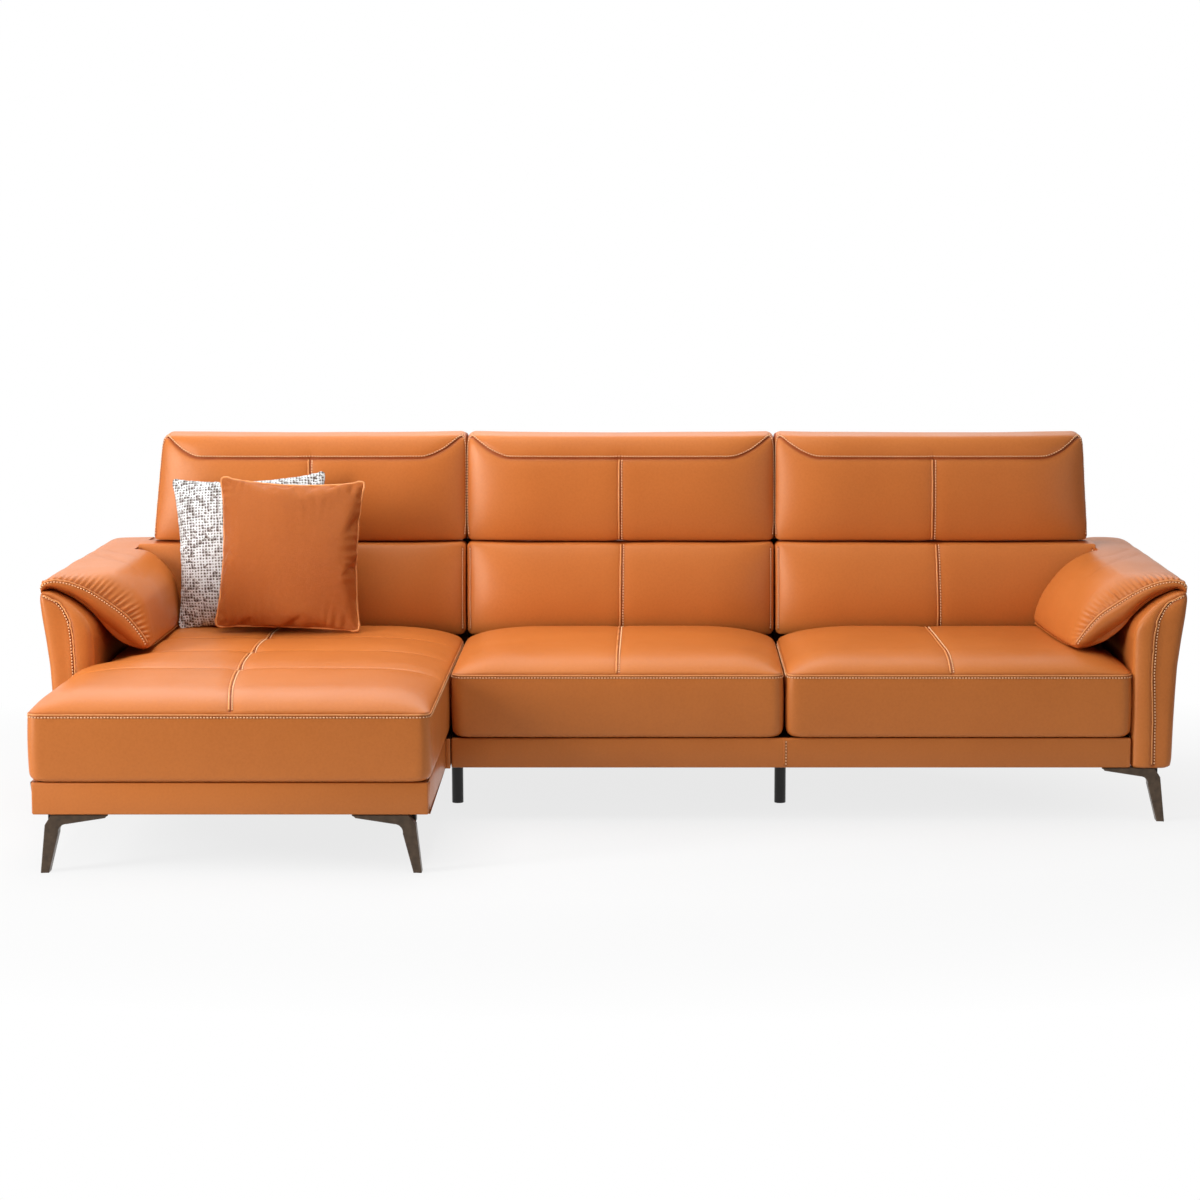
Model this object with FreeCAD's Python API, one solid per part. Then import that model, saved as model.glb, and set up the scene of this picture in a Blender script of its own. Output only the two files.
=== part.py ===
# A leather corner sofa: a chaise on the left, two seats on the right, upper back cushions
# that tip back on ratchet hinges, padded arms, cast metal legs and two loose pillows.
# Millimetres. X runs across the sofa, Y from front to back, Z up from the floor.
import FreeCAD
import Part
import os
from math import tan, radians

os.makedirs("parts", exist_ok=True)
Vector = FreeCAD.Vector

# Widths, from the left arm to the right arm
ARM_WIDTH = 138.0
CHAISE_WIDTH = 932.0
MIDDLE_WIDTH = 879.0
RIGHT_WIDTH = 913.0
CHAISE_OVERHANG = 48.0
SEAT_GAP = 9.0
HEAD_GAP = 14.0

# Depths. The last three stand behind the lumbar cushions or reach forward of their rear.
MAIN_DEPTH = 940.0
CHAISE_REACH = 575.0
BACK_DEPTH = 185.0
LUMBAR_DEPTH = 151.0
HEAD_REACH = 113.0
HEAD_THICKNESS = 160.0
REAR_PANEL = 12.0

# Heights above the floor, and heights of single pieces
FLOOR_GAP = 145.0
SKIRT_HEIGHT = 79.0
SEAT_SIDE = 166.0
SEAT_RISE = 46.0
LUMBAR_BOTTOM = 400.0
LUMBAR_HEIGHT = 263.0
HEAD_HEIGHT = 304.0
ARM_SHOULDER = 520.0
ARM_TAPER = 31.5
ARM_TOP = 611.0
PAD_TOP = 652.0
PAD_LOW = 437.0
SHELF_HEIGHT = 649.0

# Clearances and covers
SOFT_GAP = 2.0
SKIRT_GAP = 2.0
REST_GAP = 0.3
HEAD_LIFT = 4.0
FIT = 0.5
ARM_FIT = 1.5
COVER = 4.5
ARM_COVER = 10.0
PANEL_COVER = 3.0

# Leans of the back cushions, in degrees
LUMBAR_LEAN = 5.5
HEAD_LEAN = 10.0

# Timber and skirts
RAIL = 24.0
DUST_COVER = 2.0
SKIRT_BOARD = 14.0
SKIRT_SETBACK = 7.0
SPRING_RAIL_SETBACK = 26.0
BACK_BOARD = 15.0
BACK_POST = 30.0
BACK_RAIL_HEIGHT = 46.0
BACK_RAIL_DEPTH = 48.0
ARM_PANEL = 18.0
HEAD_BOARD = 12.0
HEAD_BOARD_MARGIN = 34.0
HEAD_BOARD_LIFT = 30.0
HEAD_BOARD_HEIGHT = 205.0

# Ratchet hinges of the upper back cushions
HINGE_SETBACK = 10.0
SHELF_SETBACK = 20.0
HINGE_DROP = 10.0
HINGE_PLATE = 4.0
HINGE_GAP = 0.3
HINGE_SPREAD = 250.0
HINGE_WIDTH = 24.0
HINGE_ARM_LENGTH = 130.0
HINGE_BRACKET_LENGTH = 95.0
PIN_RADIUS = 4.0
PIN_PLAY = 0.06

# Seat springs
SPRING_WIRE = 4.0
SPRING_SWING = 24.0
SPRING_PITCH = 30.0
SPRING_SPACING = 124.0

# Cast legs, round supports and their fasteners
LEG_PLATE = 168.0
LEG_THICKNESS = 34.0
LEG_CHAMFER = 2.5
FOOT_WIDTH = 20.0
LEG_SHOULDER = 26.0
LEG_SETBACK = 9.0
BLOCK_DEPTH = 30.0
BLOCK_HEIGHT = 24.0
BLOCK_WIDTH = 46.0
BLOCK_INSET = 15.0
SUPPORT_RADIUS = 15.5
SUPPORT_FLANGE = 28.0
FLANGE_HEIGHT = 4.0
SUPPORT_FRONT = 255.0
REAR_LEG_INSET = 80.0
LEG_BESIDE_ARM = 91.0
CHAISE_FOOT_LEFT = 23.0
CHAISE_FOOT_RIGHT = 25.0
SCREW_RADIUS = 3.0
SCREW_LENGTH = 46.0
SCREW_INSET = 22.0
SCREW_PITCH = 52.0
SCREW_SUNK = 9.0
SCREW_HEAD_RADIUS = 5.5
SCREW_HEAD = 3.0
SCREW_PLAY = 0.15
CONNECTOR = 4.0
CONNECTOR_SIZE = 60.0
CONNECTOR_SETBACK = 120.0
CONNECTOR_MARGIN = 4.0

# Loose pillows. Their centres stand in from the left arm, before the lumbar cushion and over the seat.
LEATHER_PILLOW_WIDTH = 405.0
LEATHER_PILLOW_HEIGHT = 424.0
LEATHER_PILLOW_THICKNESS = 104.0
LEATHER_PILLOW_IN = 457.0
LEATHER_PILLOW_BEFORE = 124.2
LEATHER_PILLOW_RAISE = 216.5
FABRIC_PILLOW_WIDTH = 436.0
FABRIC_PILLOW_HEIGHT = 428.0
FABRIC_PILLOW_THICKNESS = 98.0
FABRIC_PILLOW_IN = 336.0
FABRIC_PILLOW_BEFORE = 21.45
FABRIC_PILLOW_RAISE = 215.6
PILLOW_LEAN = 10.0
PILLOW_COVER = 3.0

# Places worked out from the sizes above
SOFA_WIDTH = 2 * ARM_WIDTH + CHAISE_WIDTH + MIDDLE_WIDTH + RIGHT_WIDTH
FRONT = CHAISE_REACH - (CHAISE_REACH + MAIN_DEPTH) / 2
CHAISE_FRONT = FRONT - CHAISE_REACH
BACK = FRONT + MAIN_DEPTH
LEFT_ARM = ARM_WIDTH - SOFA_WIDTH / 2
RIGHT_ARM = SOFA_WIDTH / 2 - ARM_WIDTH
FIRST_JOIN = LEFT_ARM + CHAISE_WIDTH
SECOND_JOIN = FIRST_JOIN + MIDDLE_WIDTH
LUMBAR_REAR = BACK - BACK_DEPTH
SEAT_REAR = LUMBAR_REAR - LUMBAR_DEPTH
HEAD_FACE = LUMBAR_REAR - HEAD_REACH
SKIRT_TOP = FLOOR_GAP + SKIRT_HEIGHT
SEAT_BASE = SKIRT_TOP + SKIRT_GAP
SEAT_SEAM = SEAT_BASE + SEAT_SIDE
RAIL_TOP = SEAT_BASE - REST_GAP - SPRING_WIRE
RAIL_BOTTOM = FLOOR_GAP + DUST_COVER
LUMBAR_TOP = LUMBAR_BOTTOM + LUMBAR_HEIGHT
HEAD_BOTTOM = LUMBAR_TOP + HEAD_LIFT
PANEL_FRONT = BACK - REAR_PANEL
BOARD_FRONT = LUMBAR_REAR + FIT
BOARD_REAR = BOARD_FRONT + BACK_BOARD
HINGE_Y = HEAD_FACE + HEAD_THICKNESS - HINGE_SETBACK
HINGE_Z = HEAD_BOTTOM - HINGE_DROP
SHELF_FRONT = HINGE_Y + SHELF_SETBACK


def box(low_x, high_x, low_y, high_y, low_z, high_z):
    """A box between two corners."""
    size = (high_x - low_x, high_y - low_y, high_z - low_z)
    return Part.makeBox(*size, Vector(low_x, low_y, low_z))


def drawn_in(outline, inset):
    """Move each point of an anticlockwise outline inwards, square to the line between its neighbours.

    The outline alternates corners and the points that arcs pass through; None there is a straight side.
    """
    places = [i for i, point in enumerate(outline) if point is not None]
    moved = list(outline)
    for n, i in enumerate(places):
        before = outline[places[n - 1]]
        after = outline[places[(n + 1) % len(places)]]
        along_u = after[0] - before[0]
        along_v = after[1] - before[1]
        length = (along_u**2 + along_v**2) ** 0.5
        moved[i] = (outline[i][0] - inset * along_v / length, outline[i][1] + inset * along_u / length)
    return moved


def ring(outline, place):
    """A closed wire of lines and arcs through an outline, with each flat point placed in space."""
    edges = []
    for i in range(0, len(outline), 2):
        start = place(*outline[i])
        end = place(*outline[(i + 2) % len(outline)])
        if outline[i + 1] is None:
            edges.append(Part.LineSegment(start, end).toShape())
        else:
            edges.append(Part.Arc(start, place(*outline[i + 1]), end).toShape())
    return Part.Wire(edges)


def soft_form(stations, place, inset=0.0):
    """A form lofted through (position, outline) stations, drawn in all round by inset."""
    first = stations[0][0]
    last = stations[-1][0]
    shrink = (last - first - 2 * inset) / (last - first)
    wires = []
    for position, outline in stations:
        moved = first + inset + (position - first) * shrink
        wires.append(ring(drawn_in(outline, inset), lambda u, v, at=moved: place(at, u, v)))
    return Part.makeLoft(wires, True, True)


def hollowed(outer, inner):
    """A closed shell of one solid inside another: the inner one becomes a void."""
    return Part.makeSolid(Part.makeCompound([outer.Shells[0], inner.Shells[0].reversed()]))


def upholstered(stations, place, wall, cutter=None, fit=FIT):
    """A closed cover of one wall and the filling inside it, both less what cutter(growth) takes away."""
    growths = (0.0, wall, wall + fit)
    forms = [soft_form(stations, place, growth) for growth in growths]
    if cutter:
        forms = [form.cut(cutter(growth)) for form, growth in zip(forms, growths)]
    outer, hollow, filling = forms
    return hollowed(outer, hollow), filling


def across(at, u, v):
    """Places a section that stands square to Y: at is Y, u is X and v is Z."""
    return Vector(u, at, v)


def level(at, u, v):
    """Places a level section: at is Z, u is X and v is Y."""
    return Vector(u, v, at)


def seat_outline(left, right, seam_x, rise, inset):
    """A seat cushion's cross-section: flat below, sides drawn in, and a crown in two halves."""
    corner = 9.0
    tuck = 3.0
    low = SEAT_BASE + inset
    side = (low + SEAT_SEAM) / 2
    left = left + inset
    right = right - inset
    middle = SEAT_SEAM + 0.92 * rise
    shoulder = SEAT_SEAM + 0.80 * rise + 0.5
    return [
        (left + corner, low), None,
        (right - corner, low), (right - 0.3 * corner, low + 0.3 * corner),
        (right, low + corner), (right - tuck, side),
        (right, SEAT_SEAM), (right - 0.36 * (right - seam_x), shoulder),
        (seam_x, middle), (left + 0.36 * (seam_x - left), shoulder),
        (left, SEAT_SEAM), (left + tuck, side),
        (left, low + corner), (left + 0.3 * corner, low + 0.3 * corner),
    ]


# How a seat's crown grows behind its front seam: distance back, share of the rise, inset of the edge
SEAT_FRONT_EDGE = ((0.0, 0.03, 8.0), (3.0, 0.10, 2.5), (12.0, 0.24, 0.0), (40.0, 0.52, 0.0),
                   (90.0, 0.76, 0.0), (180.0, 0.93, 0.0))
SEAT_REAR_EDGE = ((60.0, 1.0, 0.0), (14.0, 0.97, 0.0), (4.0, 0.88, 2.0), (0.0, 0.78, 6.0))
CHANNEL_HALF = 45.0
CHANNEL_RISE = 0.86


def seat_stations(front, left, right, seam, channels=()):
    """Stations of a seat from its front to its rear, with a shallow channel at each share of its length."""
    length = SEAT_REAR - front
    marks = [(distance, rise, inset) for distance, rise, inset in SEAT_FRONT_EDGE]
    for share in channels:
        channel = share * length
        marks.append((channel - CHANNEL_HALF, 1.0, 0.0))
        marks.append((channel, CHANNEL_RISE, 0.0))
        marks.append((channel + CHANNEL_HALF, 1.0, 0.0))
    if not channels:
        marks.append((length / 2, 1.0, 0.0))
    marks += [(length - back, rise, inset) for back, rise, inset in SEAT_REAR_EDGE]
    return [
        (front + distance, seat_outline(left, right, seam(distance / length), rise * SEAT_RISE, inset))
        for distance, rise, inset in marks
    ]


def bowed(front, middle, rear):
    """A seam's sideways place along a seat, as a bow through three places."""
    return lambda t: front * (1 - t) * (1 - 2 * t) + 4 * middle * t * (1 - t) + rear * t * (2 * t - 1)


def back_outline(left, right, face, rear, inset, front_set, corner):
    """A back cushion's level section: flat behind, drawn-in sides, and a face crowned in two halves."""
    left = left + inset
    right = right - inset
    middle = (left + right) / 2
    tuck = 3.0
    face = face + front_set
    side = face + corner
    swell = face + 0.18 * corner
    valley = face + 0.10 * corner
    reach = 0.36 * (right - middle)
    return [
        (left, side), (left + reach, swell),
        (middle, valley), (right - reach, swell),
        (right, side), (right - tuck, (side + rear) / 2),
        (right, rear), None,
        (left, rear), (left + tuck, (side + rear) / 2),
    ]


def seat(name, front, left, right, seam, channels=(), cutter=None):
    """One seat cushion: its leather cover and its foam."""
    cover, foam = upholstered(seat_stations(front, left, right, seam, channels), across, COVER, cutter)
    return {f"{name}_seat_cover": cover, f"{name}_seat_foam": foam}


def lumbar(name, left, right):
    """One lumbar cushion, which leans with the back board behind it."""
    slope = tan(radians(LUMBAR_LEAN))
    edge = ((0.0, 12.0, 26.0), (5.0, 5.0, 13.0), (22.0, 0.0, 3.0), (70.0, 0.0, 0.0),
            (LUMBAR_HEIGHT - 70.0, 0.0, 0.0), (LUMBAR_HEIGHT - 18.0, 0.0, 4.0),
            (LUMBAR_HEIGHT - 5.0, 4.0, 13.0), (LUMBAR_HEIGHT, 10.0, 24.0))
    stations = []
    for rise, inset, front_set in edge:
        face = SEAT_REAR + SOFT_GAP + rise * slope
        outline = back_outline(left, right, face, LUMBAR_REAR, inset, front_set, 30.0)
        stations.append((LUMBAR_BOTTOM + rise, outline))
    cover, foam = upholstered(stations, level, COVER)
    return {f"{name}_lumbar_cover": cover, f"{name}_lumbar_foam": foam}


def head_y(depth, height):
    """Y of a sheet in an upper back cushion, depth behind its face, at a height above the floor."""
    return HEAD_FACE + depth + (height - HEAD_BOTTOM) * tan(radians(HEAD_LEAN))


def sheared_slab(left, right, near, far, bottom, top):
    """A slab that leans with the upper back cushion, between two depths behind its face."""
    corners = [(head_y(near, bottom), bottom), (head_y(far, bottom), bottom),
               (head_y(far, top), top), (head_y(near, top), top)]
    return plate(corners, left, right)


def plate(corners, low_x, high_x):
    """A flat plate: a polygon in Y and Z made thick along X."""
    points = [Vector(low_x, y, z) for y, z in corners + corners[:1]]
    return Part.Face(Part.makePolygon(points)).extrude(Vector(high_x - low_x, 0, 0))


def hinge_places(left, right):
    """X of the two hinges of one upper back cushion."""
    middle = (left + right) / 2
    return middle - HINGE_SPREAD, middle + HINGE_SPREAD


def hinge_arm(x, growth=0.0):
    """The hinge's moving plate with its pin, from the pivot up in front of the cushion's board."""
    board_face = HEAD_THICKNESS - COVER - FIT - HEAD_BOARD
    half = HINGE_WIDTH / 2 + growth
    top = HEAD_BOTTOM + HEAD_BOARD_LIFT + HINGE_ARM_LENGTH
    knee = HEAD_BOTTOM + HEAD_BOARD_LIFT
    corners = [
        (HINGE_Y - half, HINGE_Z - half + 3.0), (HINGE_Y + half, HINGE_Z - half + 3.0),
        (HINGE_Y + half, HINGE_Z + half), (head_y(board_face, knee), knee - growth),
        (head_y(board_face, top), top + growth),
        (head_y(board_face - HINGE_WIDTH - growth, top), top + growth),
        (head_y(board_face - HINGE_WIDTH - growth, knee), knee), (HINGE_Y - half, HINGE_Z + half),
    ]
    arm = plate(corners, x - growth, x + HINGE_PLATE + growth)
    if growth:
        return arm
    pin_start = x - HINGE_GAP - HINGE_PLATE - 2.0
    pin_length = x + HINGE_PLATE + 1.0 - pin_start
    pin = Part.makeCylinder(PIN_RADIUS, pin_length, Vector(pin_start, HINGE_Y, HINGE_Z), Vector(1, 0, 0))
    return arm.fuse(pin)


def hinge_bracket(x):
    """The hinge's fixed plate, screwed behind the back board, with the hole that the pin turns in."""
    half = HINGE_WIDTH / 2
    high_x = x - HINGE_GAP
    low_x = high_x - HINGE_PLATE
    top = HINGE_Z + PIN_RADIUS + 4.0
    corners = [
        (HINGE_Y - half, top), (BOARD_REAR, HINGE_Z - 16.0), (BOARD_REAR, HINGE_Z - HINGE_BRACKET_LENGTH),
        (HINGE_Y + half, HINGE_Z - HINGE_BRACKET_LENGTH + 20.0), (HINGE_Y + half, top),
    ]
    hole = Part.makeCylinder(PIN_RADIUS + PIN_PLAY, HINGE_PLATE + 2, Vector(low_x - 1, HINGE_Y, HINGE_Z),
                             Vector(1, 0, 0))
    return plate(corners, low_x, high_x).cut(hole)


# An upper back cushion from bottom to top: height share, side inset, setback of the face and of the rear
HEAD_EDGE = ((0.0, 11.0, 24.0, 6.0), (0.018, 4.0, 12.0, 2.0), (0.07, 0.5, 3.0, 0.0), (0.25, 0.0, 0.0, 0.0),
             (0.55, 0.0, 0.0, 0.0), (0.75, 1.5, 3.0, 0.0), (0.79, 2.0, 6.5, 0.0), (0.88, 5.0, 19.0, 0.0),
             (0.95, 8.0, 40.0, 2.0), (0.985, 13.0, 60.0, 8.0), (1.0, 22.0, 80.0, 18.0))


def headrest(name, left, right, left_draw, right_draw):
    """One upper back cushion that tips back: cover, foam, board and the moving hinge plates."""
    stations = []
    for share, inset, front_set, rear_set in HEAD_EDGE:
        height = HEAD_BOTTOM + share * HEAD_HEIGHT
        outline = back_outline(left + share * left_draw, right - share * right_draw,
                               head_y(0.0, height), head_y(HEAD_THICKNESS, height) - rear_set,
                               inset, front_set, 30.0 * (1 - 0.5 * share))
        stations.append((height, outline))
    cover, foam = upholstered(stations, level, COVER)
    behind = HEAD_THICKNESS - COVER - FIT
    board_face = behind - HEAD_BOARD
    bottom = HEAD_BOTTOM + HEAD_BOARD_LIFT
    board = sheared_slab(left + HEAD_BOARD_MARGIN, right - HEAD_BOARD_MARGIN - right_draw,
                         board_face, behind - FIT, bottom, bottom + HEAD_BOARD_HEIGHT)
    foam = foam.cut(sheared_slab(left - 50.0, right + 50.0, board_face - FIT, HEAD_THICKNESS + 60.0,
                                 HEAD_BOTTOM - 5.0, HEAD_BOTTOM + HEAD_HEIGHT + 5.0))
    arms = []
    for x in hinge_places(left, right):
        foam = foam.cut(hinge_arm(x, FIT))
        slot = box(x - HINGE_GAP - HINGE_PLATE - FIT, x + HINGE_PLATE + FIT, HINGE_Y - HINGE_WIDTH - 14.0,
                   HINGE_Y + HINGE_WIDTH / 2 + FIT, HEAD_BOTTOM - 5.0, HEAD_BOTTOM + 20.0)
        cover = cover.cut(slot)
        arms.append(hinge_arm(x))
    return {f"{name}_headrest_cover": cover, f"{name}_headrest_foam": foam,
            f"{name}_headrest_board": board, f"{name}_hinge_arms": Part.makeCompound(arms)}


def back_frame(left, right):
    """The timber behind one seat: a front board, two posts and a top rail."""
    floor = RAIL_TOP
    top = SHELF_HEIGHT - PANEL_COVER
    return Part.makeCompound([
        box(left, right, BOARD_FRONT, BOARD_REAR, floor, top),
        box(left, left + BACK_POST, BOARD_REAR, PANEL_FRONT, floor, top),
        box(right - BACK_POST, right, BOARD_REAR, PANEL_FRONT, floor, top),
        box(left + BACK_POST, right - BACK_POST, SHELF_FRONT, SHELF_FRONT + BACK_RAIL_DEPTH,
            top - BACK_RAIL_HEIGHT, top),
    ])


def rear_panel(left, right):
    """The upholstered panel down the back, which turns forward over the top rail."""
    low = FLOOR_GAP
    profile = [(PANEL_FRONT, low), (BACK, low), (BACK, SHELF_HEIGHT), (SHELF_FRONT, SHELF_HEIGHT),
               (SHELF_FRONT, SHELF_HEIGHT - PANEL_COVER), (PANEL_FRONT, SHELF_HEIGHT - PANEL_COVER)]
    return plate(profile, left, right)


def arm_outline(inset):
    """An arm's cross-section, in distance inwards from the arm's outer top edge and height."""
    low = FLOOR_GAP + inset
    inner = ARM_WIDTH - inset
    outer = inset
    return [
        (ARM_TAPER + 12.5 + outer, low), None,
        (inner - 8.0, low), (inner - 2.4, low + 2.4),
        (inner, low + 8.0), None,
        (inner, ARM_SHOULDER - inset), (0.60 * ARM_WIDTH, ARM_TOP - 33.0 - inset),
        (22.0 + inset, ARM_TOP - inset), (6.0 + outer, ARM_TOP - 5.0 - inset),
        (outer, ARM_TOP - 18.0 - inset), (0.4 * ARM_TAPER + outer, 0.22 * FLOOR_GAP + 0.78 * ARM_TOP),
        (0.86 * ARM_TAPER + outer, 0.62 * FLOOR_GAP + 0.38 * ARM_TOP),
        (0.97 * ARM_TAPER + outer, 0.8 * FLOOR_GAP + 0.2 * ARM_TOP),
        (ARM_TAPER + outer, low + 16.0), (ARM_TAPER + 4.0 + outer, low + 4.5),
    ]


def arm_places(side):
    """Places an arm's sections on the left (-1) or right (1) side."""
    return lambda at, u, v: Vector(side * (SOFA_WIDTH / 2 - u), at, v)


def arm(name, side):
    """One arm: a leather cover over padding, and the hollow timber box inside it."""
    edge = ((0.0, 9.0), (2.5, 3.0), (10.0, 0.0), (MAIN_DEPTH / 2, 0.0), (MAIN_DEPTH - 10.0, 0.0),
            (MAIN_DEPTH - 2.5, 3.0), (MAIN_DEPTH, 9.0))
    stations = [(FRONT + distance, arm_outline(inset)) for distance, inset in edge]
    cover, solid_box = upholstered(stations, arm_places(side), ARM_COVER, fit=ARM_FIT)
    wall = ARM_COVER + ARM_FIT + ARM_PANEL
    inner, outer = sorted((side * (RIGHT_ARM + wall), side * (SOFA_WIDTH / 2 - ARM_TAPER - wall)))
    hollow = box(inner, outer, FRONT + wall, BACK - wall, FLOOR_GAP + wall, ARM_SHOULDER - wall)
    return {f"{name}_arm_cover": cover, f"{name}_arm_frame": hollowed(solid_box, hollow)}


def pad_outline(reach, swell, outer):
    """An arm pad's section: it rests on the arm's top and hangs inwards to a plump, low edge."""
    rest = REST_GAP + 0.4
    over = reach - ARM_WIDTH
    flank = PAD_LOW + 0.6326 * (PAD_TOP - PAD_LOW)
    return [
        (outer, ARM_TOP + rest + 4.0), (0.60 * ARM_WIDTH, ARM_TOP - 33.0 + rest + 4.0),
        (ARM_WIDTH, ARM_SHOULDER + rest + 5.0), (ARM_WIDTH + 0.42 * over, PAD_LOW + 32.0),
        (reach - 34.0, PAD_LOW + 10.0 - swell), (reach - 7.0, PAD_LOW + 18.0 - swell),
        (reach, PAD_LOW + 34.0), (ARM_WIDTH + 0.62 * over, flank + 0.6 * swell),
        (0.72 * ARM_WIDTH, PAD_TOP - 11.0 + swell), (0.36 * ARM_WIDTH, PAD_TOP - 12.0 + swell),
    ]


def arm_pad(name, side, front_reach, rear_reach):
    """One arm pad: cover and fill. Its front end slants back towards the seat."""
    slant = 0.34
    start = FRONT + 22.0
    length = MAIN_DEPTH - 34.0
    marks = ((0.0, 0.0, 0.0, 7.0), (10.0, 0.05, 5.0, 5.0), (60.0, 0.2, 9.0, 3.0), (250.0, 0.6, 10.0, 3.0),
             (560.0, 1.0, 10.0, 4.0), (length - 60.0, 1.0, 8.0, 6.0), (length, 1.0, 0.0, 12.0))

    def place(at, u, v):
        share = max(0.0, 1 - (at - start) / (length / 2))
        return Vector(side * (SOFA_WIDTH / 2 - u), at + slant * share * u, v)

    def beside_lumbar(growth):
        edge = SOFA_WIDTH / 2 - ARM_WIDTH + SOFT_GAP + growth
        low = min(0.0, side * edge)
        return box(low, low + edge, SEAT_REAR - growth, BACK + 60.0, PAD_LOW - 60.0, PAD_TOP + 60.0)

    stations = []
    for distance, share, swell, outer in marks:
        reach = ARM_WIDTH + front_reach + share * (rear_reach - front_reach)
        stations.append((start + distance, pad_outline(reach, swell, outer)))
    cover, fill = upholstered(stations, place, COVER, beside_lumbar)
    return {f"{name}_arm_pad_cover": cover, f"{name}_arm_pad_fill": fill}


def base_frame(rails):
    """A base frame of timber rails, given as (low x, high x, low y, high y)."""
    return Part.makeCompound([box(*rail, RAIL_BOTTOM, RAIL_TOP) for rail in rails])


def frame_of(left, right, front, rear, crossings):
    """Rails round a rectangle: two side rails, and a rail across at each crossing's front face."""
    rails = [(left, left + RAIL, front, rear), (right - RAIL, right, front, rear)]
    for y in crossings:
        rails.append((left + RAIL, right - RAIL, y, y + RAIL))
    return rails


def zigzag(x, front, rear):
    """One sinuous spring, flat on the rails."""
    count = int((rear - front) // SPRING_PITCH)
    step = (rear - front) / count
    middle = [(x + SPRING_SWING * (-1) ** i, front + i * step) for i in range(count + 1)]
    near = [Vector(px + SPRING_WIRE, py, RAIL_TOP) for px, py in middle]
    far = [Vector(px - SPRING_WIRE, py, RAIL_TOP) for px, py in reversed(middle)]
    return Part.Face(Part.makePolygon(near + far + near[:1])).extrude(Vector(0, 0, SPRING_WIRE))


def spring_row(left, right, front, rear):
    """Springs side by side between two rails."""
    count = int((right - left - 2 * RAIL - 2 * SPRING_SWING) // SPRING_SPACING) + 1
    width = SPRING_SPACING * (count - 1)
    start = (left + right - width) / 2
    return [zigzag(start + i * SPRING_SPACING, front, rear) for i in range(count)]


def leg_outline():
    """A cast leg seen from the front: a plate that narrows inwards, and a strut that leans outwards."""
    top = FLOOR_GAP
    return [
        (LEG_PLATE, top), None, (30.0, top), None, (13.0, top - LEG_SHOULDER), None, (0.0, 0.0), None,
        (FOOT_WIDTH, 0.0), None, (45.0, top - 47.0), (50.0, top - 31.0), (65.0, top - LEG_SHOULDER + 2.0),
        None, (LEG_PLATE - 8.0, top - SCREW_SUNK), None,
    ]


def leg(foot_x, y, side):
    """A cast leg whose foot's outer edge is at foot_x; side is the way that the strut leans."""
    outline = leg_outline()
    thin = [(0.0, LEG_CHAMFER), (LEG_CHAMFER, 0.0), (LEG_THICKNESS - LEG_CHAMFER, 0.0),
            (LEG_THICKNESS, LEG_CHAMFER)]
    wires = []
    for distance, inset in thin:
        wires.append(ring(drawn_in(outline, inset),
                          lambda u, v, at=y + distance: Vector(foot_x - side * u, at, v)))
    return Part.makeLoft(wires, True, True)


def screw(x, y, growth=0.0):
    """A pan-head screw up through a leg's plate into the frame."""
    seat_z = FLOOR_GAP - SCREW_SUNK
    shank = Part.makeCylinder(SCREW_RADIUS + growth, SCREW_LENGTH + growth, Vector(x, y, seat_z))
    head = Part.makeCylinder(SCREW_HEAD_RADIUS + growth, SCREW_HEAD + growth,
                             Vector(x, y, seat_z - SCREW_HEAD))
    return shank.fuse(head)


def support(x, y):
    """A round black support under the frame, with the flange that it is screwed on by."""
    post = Part.makeCylinder(SUPPORT_RADIUS, FLOOR_GAP - FLANGE_HEIGHT, Vector(x, y, 0))
    flange = Part.makeCylinder(SUPPORT_FLANGE, FLANGE_HEIGHT, Vector(x, y, FLOOR_GAP - FLANGE_HEIGHT))
    return post.fuse(flange)


# A pillow from its middle plane to its face: share of half the thickness, share of the size, bow of a side
PILLOW_STATIONS = ((1.0, 0.30, -0.10), (0.90, 0.55, -0.06), (0.68, 0.76, -0.025), (0.36, 0.91, 0.010),
                   (0.05, 1.0, 0.028))


def pillow(size, centre, roll):
    """A square pillow with pointed corners and drawn-in sides, leaning back: its cover and its filling."""
    width, height, thickness = size

    def outline(share, bow):
        half_u = share * width / 2
        half_v = share * height / 2
        in_u = (1 - 2 * bow) * half_u
        in_v = (1 - 2 * bow) * half_v
        return [(-half_u, -half_v), (0.0, -in_v), (half_u, -half_v), (in_u, 0.0),
                (half_u, half_v), (0.0, in_v), (-half_u, half_v), (-in_u, 0.0)]

    near = [(-depth * thickness / 2, outline(share, bow)) for depth, share, bow in PILLOW_STATIONS]
    far = [(-at, shape) for at, shape in reversed(near)]
    cover, filling = upholstered(near + far, across, PILLOW_COVER)
    for shape in (cover, filling):
        shape.rotate(Vector(0, 0, 0), Vector(0, 1, 0), roll)
        shape.rotate(Vector(0, 0, 0), Vector(1, 0, 0), -PILLOW_LEAN)
        shape.translate(Vector(*centre))
    return cover, filling


parts = {}

# The three seats. The chaise's cushion also passes in front of the left arm.
chaise_left = LEFT_ARM - CHAISE_OVERHANG
chaise_right = FIRST_JOIN - SEAT_GAP / 2
chaise_middle = (chaise_left + chaise_right) / 2
CHAISE_SEAM_BOW = (6.25, -43.75, -24.75)
CHAISE_CHANNELS = (0.38, 0.6175, 0.8193)


def beside_left_arm(growth):
    return box(chaise_left - 50.0, LEFT_ARM + SOFT_GAP + growth, FRONT - SOFT_GAP - growth,
               BACK, SEAT_BASE - 10.0, SEAT_SEAM + SEAT_RISE + 20.0)


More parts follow.
